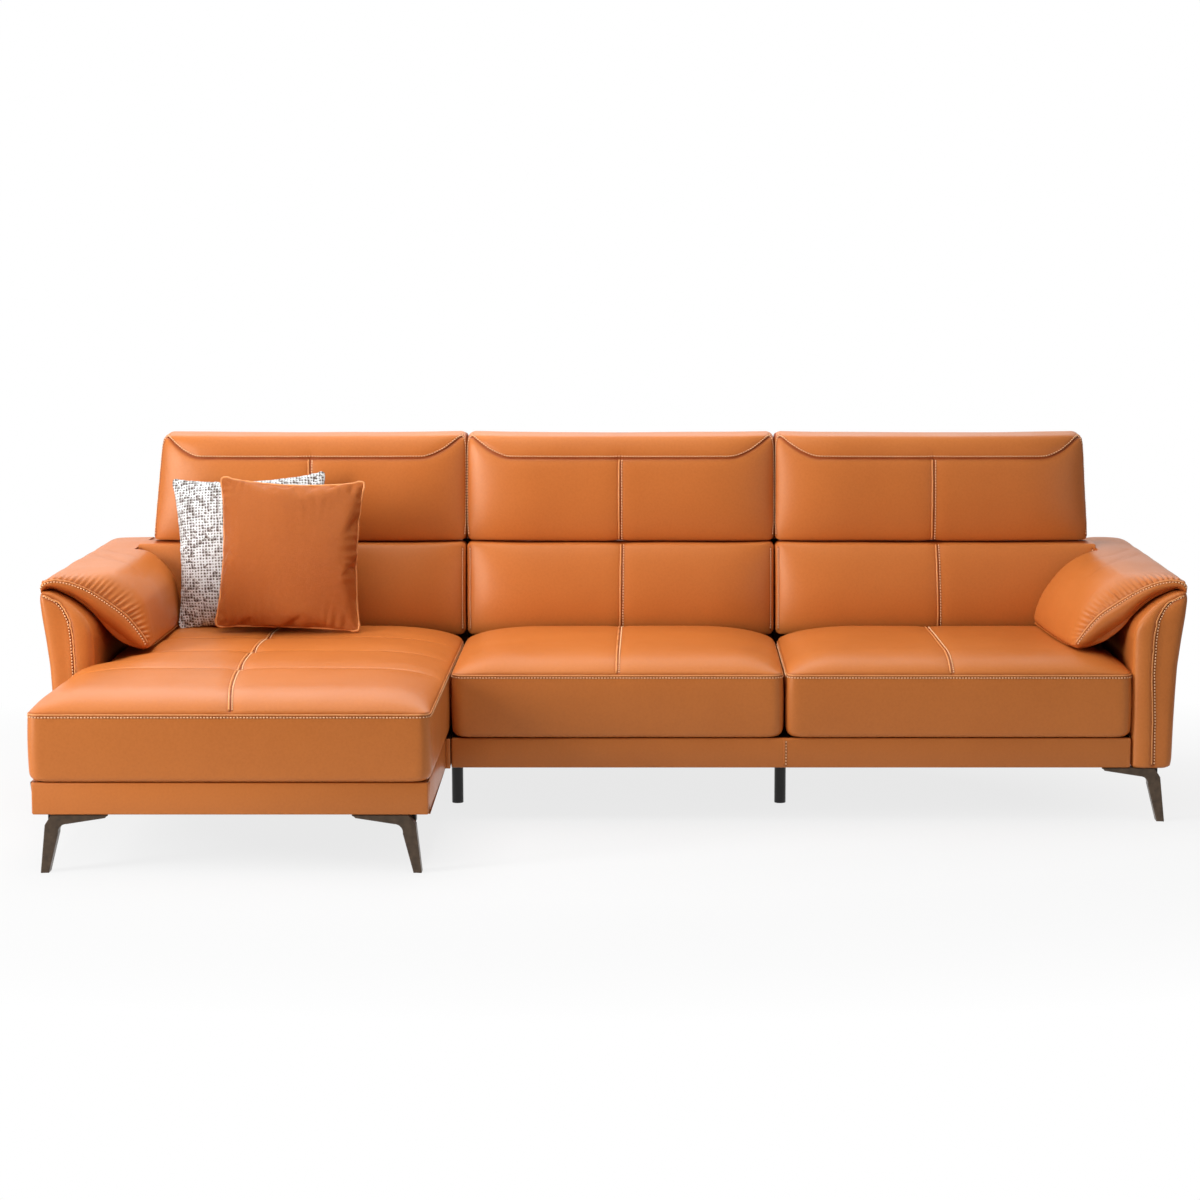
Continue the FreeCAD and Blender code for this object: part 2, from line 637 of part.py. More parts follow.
chaise_seam = bowed(*[chaise_middle + bow for bow in CHAISE_SEAM_BOW])
parts |= seat("chaise", CHAISE_FRONT, chaise_left, chaise_right, chaise_seam, CHAISE_CHANNELS,
              beside_left_arm)
middle_seam = (FIRST_JOIN + SECOND_JOIN) / 2
parts |= seat("middle", FRONT, FIRST_JOIN + SEAT_GAP / 2, SECOND_JOIN - SEAT_GAP / 2,
              bowed(middle_seam, middle_seam, middle_seam))
right_seam = (SECOND_JOIN + RIGHT_ARM) / 2 - 15.0
parts |= seat("right", FRONT, SECOND_JOIN + SEAT_GAP / 2, RIGHT_ARM - SOFT_GAP,
              bowed(right_seam, right_seam, right_seam))

# The three backs
places = {"left": (LEFT_ARM, FIRST_JOIN), "middle": (FIRST_JOIN, SECOND_JOIN),
          "right": (SECOND_JOIN, RIGHT_ARM)}
HEAD_SIDES = {"left": (33.0, 0.0), "middle": (0.0, 0.0), "right": (0.0, 15.0)}
HEAD_DRAW = {"left": (29.0, 4.0), "middle": (4.0, 4.0), "right": (4.0, 16.0)}
brackets = []
for name, (low, high) in places.items():
    parts |= lumbar(name, low + SEAT_GAP / 2, high - SEAT_GAP / 2)
    left = low + HEAD_GAP / 2 + HEAD_SIDES[name][0]
    right = high - HEAD_GAP / 2 - HEAD_SIDES[name][1]
    parts |= headrest(name, left, right, *HEAD_DRAW[name])
    brackets += [hinge_bracket(x) for x in hinge_places(left, right)]
    parts[f"{name}_back_frame"] = back_frame(low + SOFT_GAP, high - SOFT_GAP)
parts["hinge_brackets"] = Part.makeCompound(brackets)
parts["chaise_rear_panel"] = rear_panel(LEFT_ARM + SOFT_GAP, FIRST_JOIN - SOFT_GAP)
parts["main_rear_panel"] = rear_panel(FIRST_JOIN + SOFT_GAP, RIGHT_ARM - SOFT_GAP)

# The arms and their pads: how far each pad hangs inwards, at its front and at its rear
PAD_OVERHANG = {"left": (120.0, 128.0), "right": (137.0, 176.0)}
for name, side in (("left", -1), ("right", 1)):
    parts |= arm(name, side)
    parts |= arm_pad(name, side, *PAD_OVERHANG[name])

# Base frames, springs, dust covers and skirts
frame_front = SKIRT_SETBACK + SKIRT_BOARD
chaise_outer = chaise_left + SKIRT_SETBACK
chaise_inner = chaise_right - SKIRT_SETBACK
wide_left = chaise_outer + SKIRT_BOARD
frame_right = FIRST_JOIN - SOFT_GAP
spring_rail = SEAT_REAR + SPRING_RAIL_SETBACK
wide_front = CHAISE_FRONT + frame_front
wide_right = chaise_inner - SKIRT_BOARD
chaise_rails = frame_of(wide_left, wide_right, wide_front, FRONT - SOFT_GAP, [wide_front])
chaise_rails += frame_of(LEFT_ARM + SOFT_GAP, frame_right, FRONT - SOFT_GAP, PANEL_FRONT,
                         [FRONT - SOFT_GAP, spring_rail, PANEL_FRONT - RAIL])
parts["chaise_frame"] = base_frame(chaise_rails)
main_left = FIRST_JOIN + SOFT_GAP
main_right = RIGHT_ARM - SOFT_GAP
main_front = FRONT + frame_front
half_rail = RAIL / 2
main_rails = [(main_left, main_left + RAIL, main_front, PANEL_FRONT),
              (SECOND_JOIN - half_rail, SECOND_JOIN + half_rail, main_front, PANEL_FRONT),
              (main_right - RAIL, main_right, main_front, PANEL_FRONT)]
for low, high in ((main_left + RAIL, SECOND_JOIN - half_rail), (SECOND_JOIN + half_rail, main_right - RAIL)):
    for y in (main_front, spring_rail, PANEL_FRONT - RAIL):
        main_rails.append((low, high, y, y + RAIL))
parts["main_frame"] = base_frame(main_rails)
springs = spring_row(wide_left, wide_right, wide_front + half_rail,
                     FRONT - SOFT_GAP + half_rail - SPRING_WIRE)
springs += spring_row(LEFT_ARM, FIRST_JOIN, FRONT + half_rail + SPRING_WIRE, spring_rail + half_rail)
springs += spring_row(FIRST_JOIN, SECOND_JOIN, main_front + half_rail, spring_rail + half_rail)
springs += spring_row(SECOND_JOIN, RIGHT_ARM, main_front + half_rail, spring_rail + half_rail)
parts["seat_springs"] = Part.makeCompound(springs)
chaise_dust = box(wide_left, wide_right, wide_front, FRONT - SOFT_GAP, FLOOR_GAP, RAIL_BOTTOM)
chaise_dust = chaise_dust.fuse(box(LEFT_ARM + SOFT_GAP, frame_right, FRONT - SOFT_GAP, PANEL_FRONT,
                                   FLOOR_GAP, RAIL_BOTTOM)).removeSplitter()
parts["chaise_dust_cover"] = chaise_dust
parts["main_dust_cover"] = box(main_left, main_right, main_front, PANEL_FRONT, FLOOR_GAP, RAIL_BOTTOM)
skirt_front = CHAISE_FRONT + SKIRT_SETBACK
parts["chaise_skirt"] = Part.makeCompound([
    box(chaise_outer, chaise_inner, skirt_front, skirt_front + SKIRT_BOARD, FLOOR_GAP, SKIRT_TOP),
    box(chaise_outer, wide_left, skirt_front + SKIRT_BOARD, FRONT - SOFT_GAP, FLOOR_GAP, SKIRT_TOP),
    box(wide_right, chaise_inner, skirt_front + SKIRT_BOARD, FRONT - SOFT_GAP, FLOOR_GAP, SKIRT_TOP),
])
parts["main_skirt"] = box(main_left, main_right, FRONT + SKIRT_SETBACK, main_front, FLOOR_GAP, SKIRT_TOP)

# Brackets that hold the chaise and the main unit together, side by side at the join
connectors = []
for y in (FRONT + CONNECTOR_SETBACK, spring_rail - CONNECTOR_SETBACK):
    for low_x in (frame_right - RAIL - CONNECTOR, main_left + RAIL):
        connectors.append(box(low_x, low_x + CONNECTOR, y, y + CONNECTOR_SIZE,
                              RAIL_BOTTOM + CONNECTOR_MARGIN, RAIL_TOP - CONNECTOR_MARGIN))
parts["unit_connectors"] = Part.makeCompound(connectors)

# Legs: three cast ones in front, two behind, and round supports under the middle
front_leg_y = CHAISE_FRONT + LEG_SETBACK
rear_leg_y = BACK - REAR_LEG_INSET
arm_foot = RIGHT_ARM + LEG_BESIDE_ARM
cast_legs = {
    "chaise_leg_left": (chaise_left + CHAISE_FOOT_LEFT, front_leg_y, -1),
    "chaise_leg_right": (chaise_right - CHAISE_FOOT_RIGHT, front_leg_y, 1),
    "front_leg_right": (arm_foot, FRONT + LEG_SETBACK, 1),
    "rear_leg_left": (-arm_foot, rear_leg_y, -1),
    "rear_leg_right": (arm_foot, rear_leg_y, 1),
}
screws = []
blocks = []
for name, (foot_x, y, side) in cast_legs.items():
    middle_y = y + LEG_THICKNESS / 2
    shape = leg(foot_x, y, side)
    block_ends = sorted((foot_x - side * BLOCK_INSET, foot_x - side * (BLOCK_INSET + BLOCK_WIDTH)))
    blocks.append(box(*block_ends, y + LEG_THICKNESS, y + LEG_THICKNESS + BLOCK_DEPTH,
                      FLOOR_GAP - BLOCK_HEIGHT, FLOOR_GAP))
    for u in (LEG_PLATE - SCREW_INSET, LEG_PLATE - SCREW_INSET - SCREW_PITCH):
        x = foot_x - side * u
        screws.append(screw(x, middle_y))
        drill = screw(x, middle_y, SCREW_PLAY)
        shape = shape.cut(drill)
        for node in ("chaise_frame", "main_frame", "chaise_dust_cover", "main_dust_cover"):
            parts[node] = parts[node].cut(drill)
    parts[name] = shape
parts["leg_screws"] = Part.makeCompound(screws)
parts["leg_blocks"] = Part.makeCompound(blocks)
for node, y in (("front_supports", FRONT + SUPPORT_FRONT), ("rear_supports", rear_leg_y)):
    parts[node] = Part.makeCompound([support(x, y) for x in (FIRST_JOIN, SECOND_JOIN)])

# The two loose pillows, one behind the other on the chaise
seat_crown = SEAT_SEAM + SEAT_RISE
parts["leather_pillow_cover"], parts["leather_pillow_filling"] = pillow(
    (LEATHER_PILLOW_WIDTH, LEATHER_PILLOW_HEIGHT, LEATHER_PILLOW_THICKNESS),
    (LEFT_ARM + LEATHER_PILLOW_IN, SEAT_REAR - LEATHER_PILLOW_BEFORE, seat_crown + LEATHER_PILLOW_RAISE), 2.0)
parts["fabric_pillow_cover"], parts["fabric_pillow_filling"] = pillow(
    (FABRIC_PILLOW_WIDTH, FABRIC_PILLOW_HEIGHT, FABRIC_PILLOW_THICKNESS),
    (LEFT_ARM + FABRIC_PILLOW_IN, SEAT_REAR - FABRIC_PILLOW_BEFORE, seat_crown + FABRIC_PILLOW_RAISE), -3.0)

for name, shape in parts.items():
    shape.exportStep(f"parts/{name}.step")
    print(f"{name}: {len(shape.Solids)} solids, {shape.Volume / 1e6:.3f} litres")
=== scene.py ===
# %% [markdown]
# A leather corner sofa is dressed here, piece by piece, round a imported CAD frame.
# The frame gives every place: each leather piece is fitted to the box of the CAD solid that it stands for,
# rides on the same body, and so moves with the same hinge or slide.

# %% Load the frame
import math
import time

import bmesh
import bpy
import numpy as np
from mathutils import Matrix, Vector, kdtree, noise
from mathutils.bvhtree import BVHTree


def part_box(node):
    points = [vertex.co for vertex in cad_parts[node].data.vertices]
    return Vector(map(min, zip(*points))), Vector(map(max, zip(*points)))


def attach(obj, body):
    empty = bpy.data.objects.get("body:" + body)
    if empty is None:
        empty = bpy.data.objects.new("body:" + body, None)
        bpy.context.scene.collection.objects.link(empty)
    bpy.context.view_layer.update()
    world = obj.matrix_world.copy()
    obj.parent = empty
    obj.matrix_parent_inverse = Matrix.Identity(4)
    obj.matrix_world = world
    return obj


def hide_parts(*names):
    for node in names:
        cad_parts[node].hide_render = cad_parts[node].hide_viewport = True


started = time.perf_counter()
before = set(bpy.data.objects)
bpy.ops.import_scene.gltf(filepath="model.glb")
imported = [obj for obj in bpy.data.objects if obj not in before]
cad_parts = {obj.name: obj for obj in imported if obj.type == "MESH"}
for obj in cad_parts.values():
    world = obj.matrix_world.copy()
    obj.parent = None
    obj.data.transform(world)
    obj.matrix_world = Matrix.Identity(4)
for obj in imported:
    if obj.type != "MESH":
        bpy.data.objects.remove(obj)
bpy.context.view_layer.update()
packed_finish = {name: solid.data.materials[0].name for name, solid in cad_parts.items()}
for material in list(bpy.data.materials):
    material.name = "packed_" + material.name

# %% [markdown]
# The camera stands where the photographer's stood: a little to the right of the middle, 7.1 m in front of
# the seats and 1.58 m up, looking down by eight degrees. A long lens keeps the widths true. The picture is
# square, so a 36 mm sensor and the focal length alone set the field of view, and a small sideways shift
# stands for the photograph's crop.


# %% Camera
def in_scene(name, data):
    """A new object of some data, linked into the scene."""
    obj = bpy.data.objects.new(name, data)
    bpy.context.scene.collection.objects.link(obj)
    return obj


MAIN_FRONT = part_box("middle_seat_cover")[0].y
camera = in_scene("camera", bpy.data.cameras.new("camera"))
bpy.context.scene.camera = camera
camera.location = (0.1106, MAIN_FRONT - 7.0943, 1.5816)
camera.rotation_euler = (math.radians(90 - 7.94), 0, 0)
camera.data.sensor_width = 36.0
camera.data.lens = 82.4
camera.data.shift_x = -0.0466
print("camera at", tuple(round(c, 3) for c in camera.location))

# %% [markdown]
# The materials are built from nodes. A few short helpers make a node, give its inputs their values and hand
# back its output, so that a chain of nodes can be written as one expression. Each helper finds the node
# tree through the socket that it is given.


# %% Helpers for shader nodes
def set_inputs(node, values):
    """Give a node's inputs their values: a socket is linked, anything else is set."""
    for label, value in values.items():
        if hasattr(value, "node"):
            node.id_data.links.new(value, node.inputs[label])
        else:
            node.inputs[label].default_value = value
    return node


def new_node(tree, kind, inputs=None, **settings):
    """A new node with some of its settings and inputs given."""
    node = tree.nodes.new(kind)
    for label, value in settings.items():
        setattr(node, label, value)
    return set_inputs(node, inputs or {})


def maths(operation, *values):
    """A Math node of sockets and numbers, at least one of them a socket."""
    tree = next(value.id_data for value in values if hasattr(value, "node"))
    return new_node(tree, "ShaderNodeMath", dict(enumerate(values)), operation=operation).outputs[0]


def plus(*values):
    total = values[0]
    for value in values[1:]:
        total = maths("ADD", total, value)
    return total


def times(a, b):
    return maths("MULTIPLY", a, b)


def mixed(amount, first, second):
    """Two colours mixed by an amount."""
    values = {0: amount, 6: first, 7: second}
    return new_node(amount.id_data, "ShaderNodeMix", values, data_type="RGBA").outputs[2]


def noise_value(vector, scale, detail=2.0, roughness=0.5):
    values = {"Vector": vector, "Scale": scale, "Detail": detail, "Roughness": roughness}
    return new_node(vector.id_data, "ShaderNodeTexNoise", values).outputs["Fac"]


def spread(value, low, high, to_low=0.0, to_high=1.0):
    """A value stretched from one range to another."""
    values = {"Value": value, "From Min": low, "From Max": high, "To Min": to_low, "To Max": to_high}
    return new_node(value.id_data, "ShaderNodeMapRange", values).outputs["Result"]


def linear(red, green, blue):
    """A colour of 0 to 255 as a picture shows it, made linear for the shader."""
    values = [c / 255 for c in (red, green, blue)]
    return tuple(c / 12.92 if c <= 0.04045 else ((c + 0.055) / 1.055) ** 2.4 for c in values) + (1.0,)


# %% [markdown]
# Upholstery leather here is a semi-gloss, corrected-grain hide: one warm tan all over, a fine pebble that
# only shows close up, slow changes of tone across a panel, and painted shade: a darker tone towards each
# seam and deep in the gaps between cushions. The grain, the tone, the painted shade and the rubbed gloss
# are one node group, because the seats, the arms and the loose pillow share them at different strengths.
# The group hands back a colour, a roughness and a height; the shader itself stays in each material, where
# the export can read it.

# %% Leather group
leather_group = bpy.data.node_groups.new("leather_hide", "ShaderNodeTree")
for label, kind, default in (("Vector", "Vector", (0, 0, 0)), ("Hide", "Color", linear(200, 112, 60)),
                             ("Deep", "Color", linear(160, 76, 34)), ("PaintedShade", "Float", 0.0),
                             ("Grain", "Float", 1.0), ("Gloss", "Float", 0.38)):
    socket = leather_group.interface.new_socket(name=label, in_out="INPUT", socket_type="NodeSocket" + kind)
    socket.default_value = default
for label, kind in (("Color", "Color"), ("Roughness", "Float"), ("Height", "Float")):
    leather_group.interface.new_socket(name=label, in_out="OUTPUT", socket_type="NodeSocket" + kind)
given = leather_group.nodes.new("NodeGroupInput").outputs
tone = spread(noise_value(given["Vector"], 3.0, 3.0), 0.35, 0.7, 0.0, 0.14)
fleck = spread(noise_value(given["Vector"], 160.0, 3.0, 0.6), 0.4, 0.75, 0.0, 0.12)
# The darker tone is a slow random tone and a fine random fleck, plus painted shade towards the seams and in the gaps
# between cushions.
tone_and_painted_shade = plus(tone, fleck, times(given["PaintedShade"], 0.95))
cells = new_node(leather_group, "ShaderNodeTexVoronoi", {"Scale": 620.0, "Vector": given["Vector"]},
                 feature="DISTANCE_TO_EDGE")
pebble = spread(cells.outputs["Distance"], 0.0, 0.35)
height = plus(pebble, times(noise_value(given["Vector"], 70.0, 4.0, 0.65), 1.4))
rubbed = spread(noise_value(given["Vector"], 5.0, 2.0), 0.3, 0.7, -0.04, 0.05)
new_node(leather_group, "NodeGroupOutput",
         {"Color": mixed(tone_and_painted_shade, given["Hide"], given["Deep"]),
          "Roughness": plus(given["Gloss"], rubbed, times(pebble, -0.04), times(given["PaintedShade"], 0.2)),
          "Height": times(height, given["Grain"])})


# %% Leathers
WARM_SHEEN = (1.0, 0.80, 0.62, 1.0)


def shader_of(name):
    """A new material with its Principled shader and object coordinates."""
    material = bpy.data.materials.new(name)
    material.use_nodes = True
    tree = material.node_tree
    return material, tree.nodes["Principled BSDF"], tree.nodes.new("ShaderNodeTexCoord").outputs["Object"]


def bump_into(shader, height, distance):
    bump = new_node(shader.id_data, "ShaderNodeBump", {"Strength": 1.0, "Distance": distance, "Height": height})
    set_inputs(shader, {"Normal": bump.outputs["Normal"]})


def leather(name, hide, deep, grain, gloss, bump, specular):
    """A leather finish made of the shared hide group."""
    material, shader, place = shader_of(name)
    tree = material.node_tree
    # The mesh attribute read here is painted shade, darkest at the seams and in the gaps between cushions.
    painted_shade = new_node(tree, "ShaderNodeAttribute", attribute_name="painted_shade").outputs["Fac"]
    values = {"Hide": linear(*hide), "Deep": linear(*deep), "Grain": grain, "Gloss": gloss, "PaintedShade": painted_shade,
              "Vector": place}
    group = new_node(tree, "ShaderNodeGroup", values, node_tree=leather_group)
    set_inputs(shader, {"Base Color": group.outputs["Color"], "Roughness": group.outputs["Roughness"],
                        "Specular IOR Level": specular, "Specular Tint": WARM_SHEEN})
    bump_into(shader, group.outputs["Height"], bump)
    return material


tan_leather = leather("tan_leather", (200, 116, 54), (146, 64, 18), 1.0, 0.38, 0.00008, 0.5)
pillow_leather = leather("pillow_leather", (184, 101, 44), (126, 52, 15), 2.6, 0.42, 0.00022, 0.36)
# The welts' leather is lighter than the hide: a painted highlight on their ridges and on the pillow's piping.
seam_highlight_leather = leather("seam_highlight_leather", (224, 150, 90), (180, 100, 50), 0.6, 0.30, 0.00006, 0.5)
print("leather ready:", tan_leather.name, pillow_leather.name, seam_highlight_leather.name)

# %% [markdown]
# The second pillow is covered in a boucle tweed: thick off-white yarn with dark flecks spun into it, woven
# so loosely that each crossing of about nine millimetres shows. The pattern follows the cloth, so it reads
# the pillow's own UV map, which runs in metres across each face. Bands across and along make the weave, the
# gaps between the bands are painted darker as shade, and a random value for each crossing decides how much dark fleck
# it holds.

# %% Tweed
YARN_PITCH = 0.0088
tweed, shader, _ = shader_of("boucle")
tree = tweed.node_tree
weave = new_node(tree, "ShaderNodeUVMap", uv_map="weave").outputs["UV"]
stray = new_node(tree, "ShaderNodeTexNoise", {"Scale": 70.0, "Vector": weave}).outputs["Color"]
wander = new_node(tree, "ShaderNodeVectorMath", {0: stray, 1: (0.006, 0.006, 0.0), 2: weave},
                  operation="MULTIPLY_ADD").outputs[0]
yarn_places = new_node(tree, "ShaderNodeSeparateXYZ", {0: wander}).outputs
bands = [maths("ABSOLUTE", maths("SINE", times(yarn_places[axis], math.pi / YARN_PITCH))) for axis in range(2)]
# The gaps between the yarn bands, darkened below as painted shade.
yarn_gap_painted_shade = times(maths("SUBTRACT", 1.0, bands[0]), maths("SUBTRACT", 1.0, bands[1]))
crossing = new_node(tree, "ShaderNodeTexVoronoi",
                    {"Scale": 1 / YARN_PITCH, "Randomness": 0.35, "Vector": wander}).outputs["Color"]
chance = new_node(tree, "ShaderNodeSeparateColor", {0: crossing}).outputs[0]
streaks = new_node(tree, "ShaderNodeMapping", {"Scale": (320.0, 60.0, 1.0), "Vector": wander}).outputs["Vector"]
slub = noise_value(weave, 260.0, 3.0, 0.7)
patch = noise_value(weave, 14.0, 2.0)
# The gaps weigh most in this sum, and their darkening is painted shade; the crossings, streaks, slubs and patches are
# the yarn's own dark fleck.
fleck = plus(times(yarn_gap_painted_shade, 1.7), times(chance, 0.65), times(noise_value(streaks, 1.0, 1.0), 0.6), times(slub, 0.6),
             times(patch, 0.4))
yarn = mixed(spread(fleck, 1.18, 1.52), linear(228, 234, 236), linear(138, 130, 124))
yarn = mixed(spread(fleck, 1.50, 1.85), yarn, linear(62, 50, 44))
set_inputs(shader, {"Base Color": yarn, "Roughness": 0.92, "Sheen Weight": 0.25, "Specular IOR Level": 0.2})
bump_into(shader, plus(maths("MAXIMUM", *bands), times(slub, 0.8)), 0.0016)
print("tweed ready, yarn pitch", YARN_PITCH)

# %% [markdown]
# The small and the hidden parts get finishes of their own: a warm bronze coat on the cast legs, black
# lacquer on the round supports, black cloth under the base, pine for the frame darkened as painted shade for
# the gaps where it shows, zinc on the hinges, a light thread for the stitches, and a dark brown painted as the shade
# of the needle holes between them.


# %% Thread, metal, cloth, timber and foam
def plain_finish(name, first, second, scale, rough, rough_spread, metallic=0.0, bump=0.0, detail=3.0, stretch=None,
                 specular=0.5):
    """A finish of two close tones with an uneven gloss."""
    material, shader, place = shader_of(name)
    if stretch:
        place = new_node(material.node_tree, "ShaderNodeMapping",
                         {"Scale": stretch, "Vector": place}).outputs["Vector"]
    value = noise_value(place, scale, detail)
    set_inputs(shader, {"Base Color": mixed(spread(value, 0.3, 0.7), linear(*first), linear(*second)),
                        "Roughness": spread(value, 0.3, 0.7, rough - rough_spread, rough + rough_spread),
                        "Metallic": metallic, "Specular IOR Level": specular})
    if bump:
        bump_into(shader, value, bump)
    return material


thread = plain_finish("thread", (252, 208, 164), (236, 178, 128), 900.0, 0.6, 0.08, specular=0.2)
# Dark brown beads between the stitches: the painted shade of the needle holes.
needle_hole_shade = plain_finish("needle_hole_shade", (112, 52, 22), (86, 38, 14), 300.0, 0.9, 0.05, specular=0.05)
black_cloth = plain_finish("black_cloth", (34, 32, 31), (22, 21, 20), 700.0, 0.9, 0.05, 0.0, 0.0002)
cad_finishes = (
    tan_leather, tweed, black_cloth,
    plain_finish("bronze_metal", (96, 80, 66), (78, 66, 56), 60.0, 0.36, 0.05, 0.75, 0.00002, 5.0),
    plain_finish("black_metal", (26, 23, 21), (20, 18, 17), 40.0, 0.35, 0.05, 0.2),
    # The frame's pine is darkened to paint the shade of the gaps where it shows.
    plain_finish("timber", (104, 66, 40), (76, 46, 27), 9.0, 0.6, 0.08, 0.0, 0.0002, 6.0, (0.6, 9.0, 9.0)),
    plain_finish("hinge_steel", (178, 180, 184), (146, 148, 152), 120.0, 0.34, 0.07, 1.0),
    plain_finish("foam", (236, 226, 196), (222, 208, 170), 500.0, 0.95, 0.03, 0.0, 0.0004))
finish_named = {material.name: material for material in cad_finishes}
for name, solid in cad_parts.items():
    solid.data.materials.clear()
    solid.data.materials.append(finish_named[packed_finish[name]])
print("CAD nodes finished:", len(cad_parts))

# %% [markdown]
# Every cushion starts as one operator cube, cut into a grid by subdividing the edges along each axis in
# turn. The grid lines are then carried to chosen places: close together at a seam or an edge, where the
# leather turns sharply, and far apart in the middle of a panel, where it doesn't. A shape function gives
# each grid point its place in the sofa.


# %% Grids with lines where they are needed
def graded(start, end, fine, coarse):
    """Places from start to end that lie close together at both ends."""
    half = (end - start) / 2
    steps, reach, step = [], 0.0, fine
    while reach < half:
        steps.append(step)
        reach += step
        step = min(step * 1.3, coarse)
    places = [start]
    for step in steps:
        places.append(places[-1] + step * half / reach)
    return places + [start + end - p for p in reversed(places[:-1])]


def lines_between(marks, fine, coarse):
    """Graded places through several marks, such as the edges and seams of a panel."""
    places = [marks[0]]
    for start, end in zip(marks, marks[1:]):
        places += graded(start, end, fine, coarse)[1:]
    return places


def block(across, back, up):
    """A closed grid block whose lines stand at the given places along X, Y and Z."""
    bm = bmesh.new()
    bmesh.ops.create_cube(bm, size=2.0)
    grids = (across, back, up)
    for axis, places in enumerate(grids):
        edges = [e for e in bm.edges if abs(e.verts[0].co[axis] - e.verts[1].co[axis]) > 1e-6]
        bmesh.ops.subdivide_edges(bm, edges=edges, cuts=len(places) - 2, use_grid_fill=True)
    for v in bm.verts:
        v.co = [places[round((v.co[axis] + 1) / 2 * (len(places) - 1))] for axis, places in enumerate(grids)]
    return bm


def shaped(across, back, up, shape, painted_shade=lambda x, y, z: 0.0):
    """A block carried to its place point by point, with a first value of painted shade at each point."""
    bm = block(across, back, up)
    layer = bm.verts.layers.float.new("painted_shade")
    for v in bm.verts:
        v[layer] = painted_shade(*v.co)
        v.co = shape(*v.co)
    return bm


def welded(bm):
    """Join the points that have met, and turn every face outwards."""
    bmesh.ops.remove_doubles(bm, verts=bm.verts, dist=0.00005)
    bmesh.ops.recalc_face_normals(bm, faces=bm.faces)
    return bm


# %% Curves that shapes are made of
def blend(start, end, share):
    return start + (end - start) * share


def smooth_step(value):
    value = min(max(value, 0.0), 1.0)
    return value * value * (3 - 2 * value)


def bell(distance, width):
    """One at a line, and next to nothing two widths away."""
    return math.exp(-(distance / width) ** 2)


def swell(distance, width, power=0.6):
    """How far a stuffed panel has risen at a distance from its sewn edge, from 0 to 1."""
    share = min(max(distance / width, 0.0), 1.0)
    return (1 - (1 - share) ** 2.2) ** power


def fallen_back(distance, radius):
    """How far a face with a rounded edge has fallen back, at a distance from that edge."""
    return radius - math.sqrt(max(radius**2 - max(radius - distance, 0.0) ** 2, 0.0))


def between(table, value):
    """A value read from a short table of pairs."""
    for (a, low), (b, high) in zip(table, table[1:]):
        if value <= b:
            return low + (high - low) * (value - a) / (b - a)
    return table[-1][1]


def rounded(x, y, half_x, half_y, radius):
    """A point of a rectangle, carried to the same rectangle with rounded corners."""
    share = max(abs(x) / half_x, abs(y) / half_y)
    r = radius * share
    inner_x = half_x * share - r
    inner_y = half_y * share - r
    near_x = min(max(x, -inner_x), inner_x)
    near_y = min(max(y, -inner_y), inner_y)
    reach = math.hypot(x - near_x, y - near_y)
    if reach < 1e-9:
        return x, y
    return near_x + (x - near_x) * r / reach, near_y + (y - near_y) * r / reach


def corner_shift(from_side, from_end, radius):
    """How far a point moves in along X and Z, so that a square corner is rounded."""
    into_x, into_z = radius - from_side, radius - from_end
    if into_x <= 0 or into_z <= 0:
        return 0.0, 0.0
    share = max(into_x, into_z) / math.hypot(into_x, into_z)
    return into_x - into_x * share, into_z - into_z * share


# %% [markdown]
# A seam is found on the finished form: rays are cast on to it from a row of places, or the nearest places
# to a row are taken. It then pulls the leather down into the foam. Each point near the line moves inwards,
# most at the line itself, and short puckers cross it where the leather is gathered. The same distance is
# kept as an attribute of painted shade, so the finish is painted darker towards the seam.


# %% Lines on a surface
SEAM_PITCH = 0.004
DOWN, INTO_BACK = Vector((0, 0, -1)), Vector((0, 1, 0))


def resample(points, pitch=SEAM_PITCH):
    """Points at an even pitch along a polyline."""
    points = [Vector(p) for p in points]
    lengths = [0.0]
    for a, b in zip(points, points[1:]):
        lengths.append(lengths[-1] + (b - a).length)
    count = max(int(round(lengths[-1] / pitch)), 1)
    result, i = [], 0
    for n in range(count + 1):
        goal = lengths[-1] * n / count
        while i < len(lengths) - 2 and lengths[i + 1] < goal:
            i += 1
        span = max(lengths[i + 1] - lengths[i], 1e-9)
        result.append(points[i].lerp(points[i + 1], (goal - lengths[i]) / span))
    return result


def moved(line, x=0.0, y=0.0, z=0.0):
    return [p + Vector((x, y, z)) for p in line]


def surface_of(bm):
    bm.normal_update()
    return BVHTree.FromBMesh(bm)


def cast(surface, starts, direction):
    """The line that a row of rays draws on a surface."""
    hits = (surface.ray_cast(Vector(start), direction)[0] for start in starts)
    return resample([hit for hit in hits if hit])


def nearest_line(surface, goals):
    """The line on a surface that lies nearest to a row of places."""
    return resample([surface.find_nearest(goal)[0] for goal in goals])


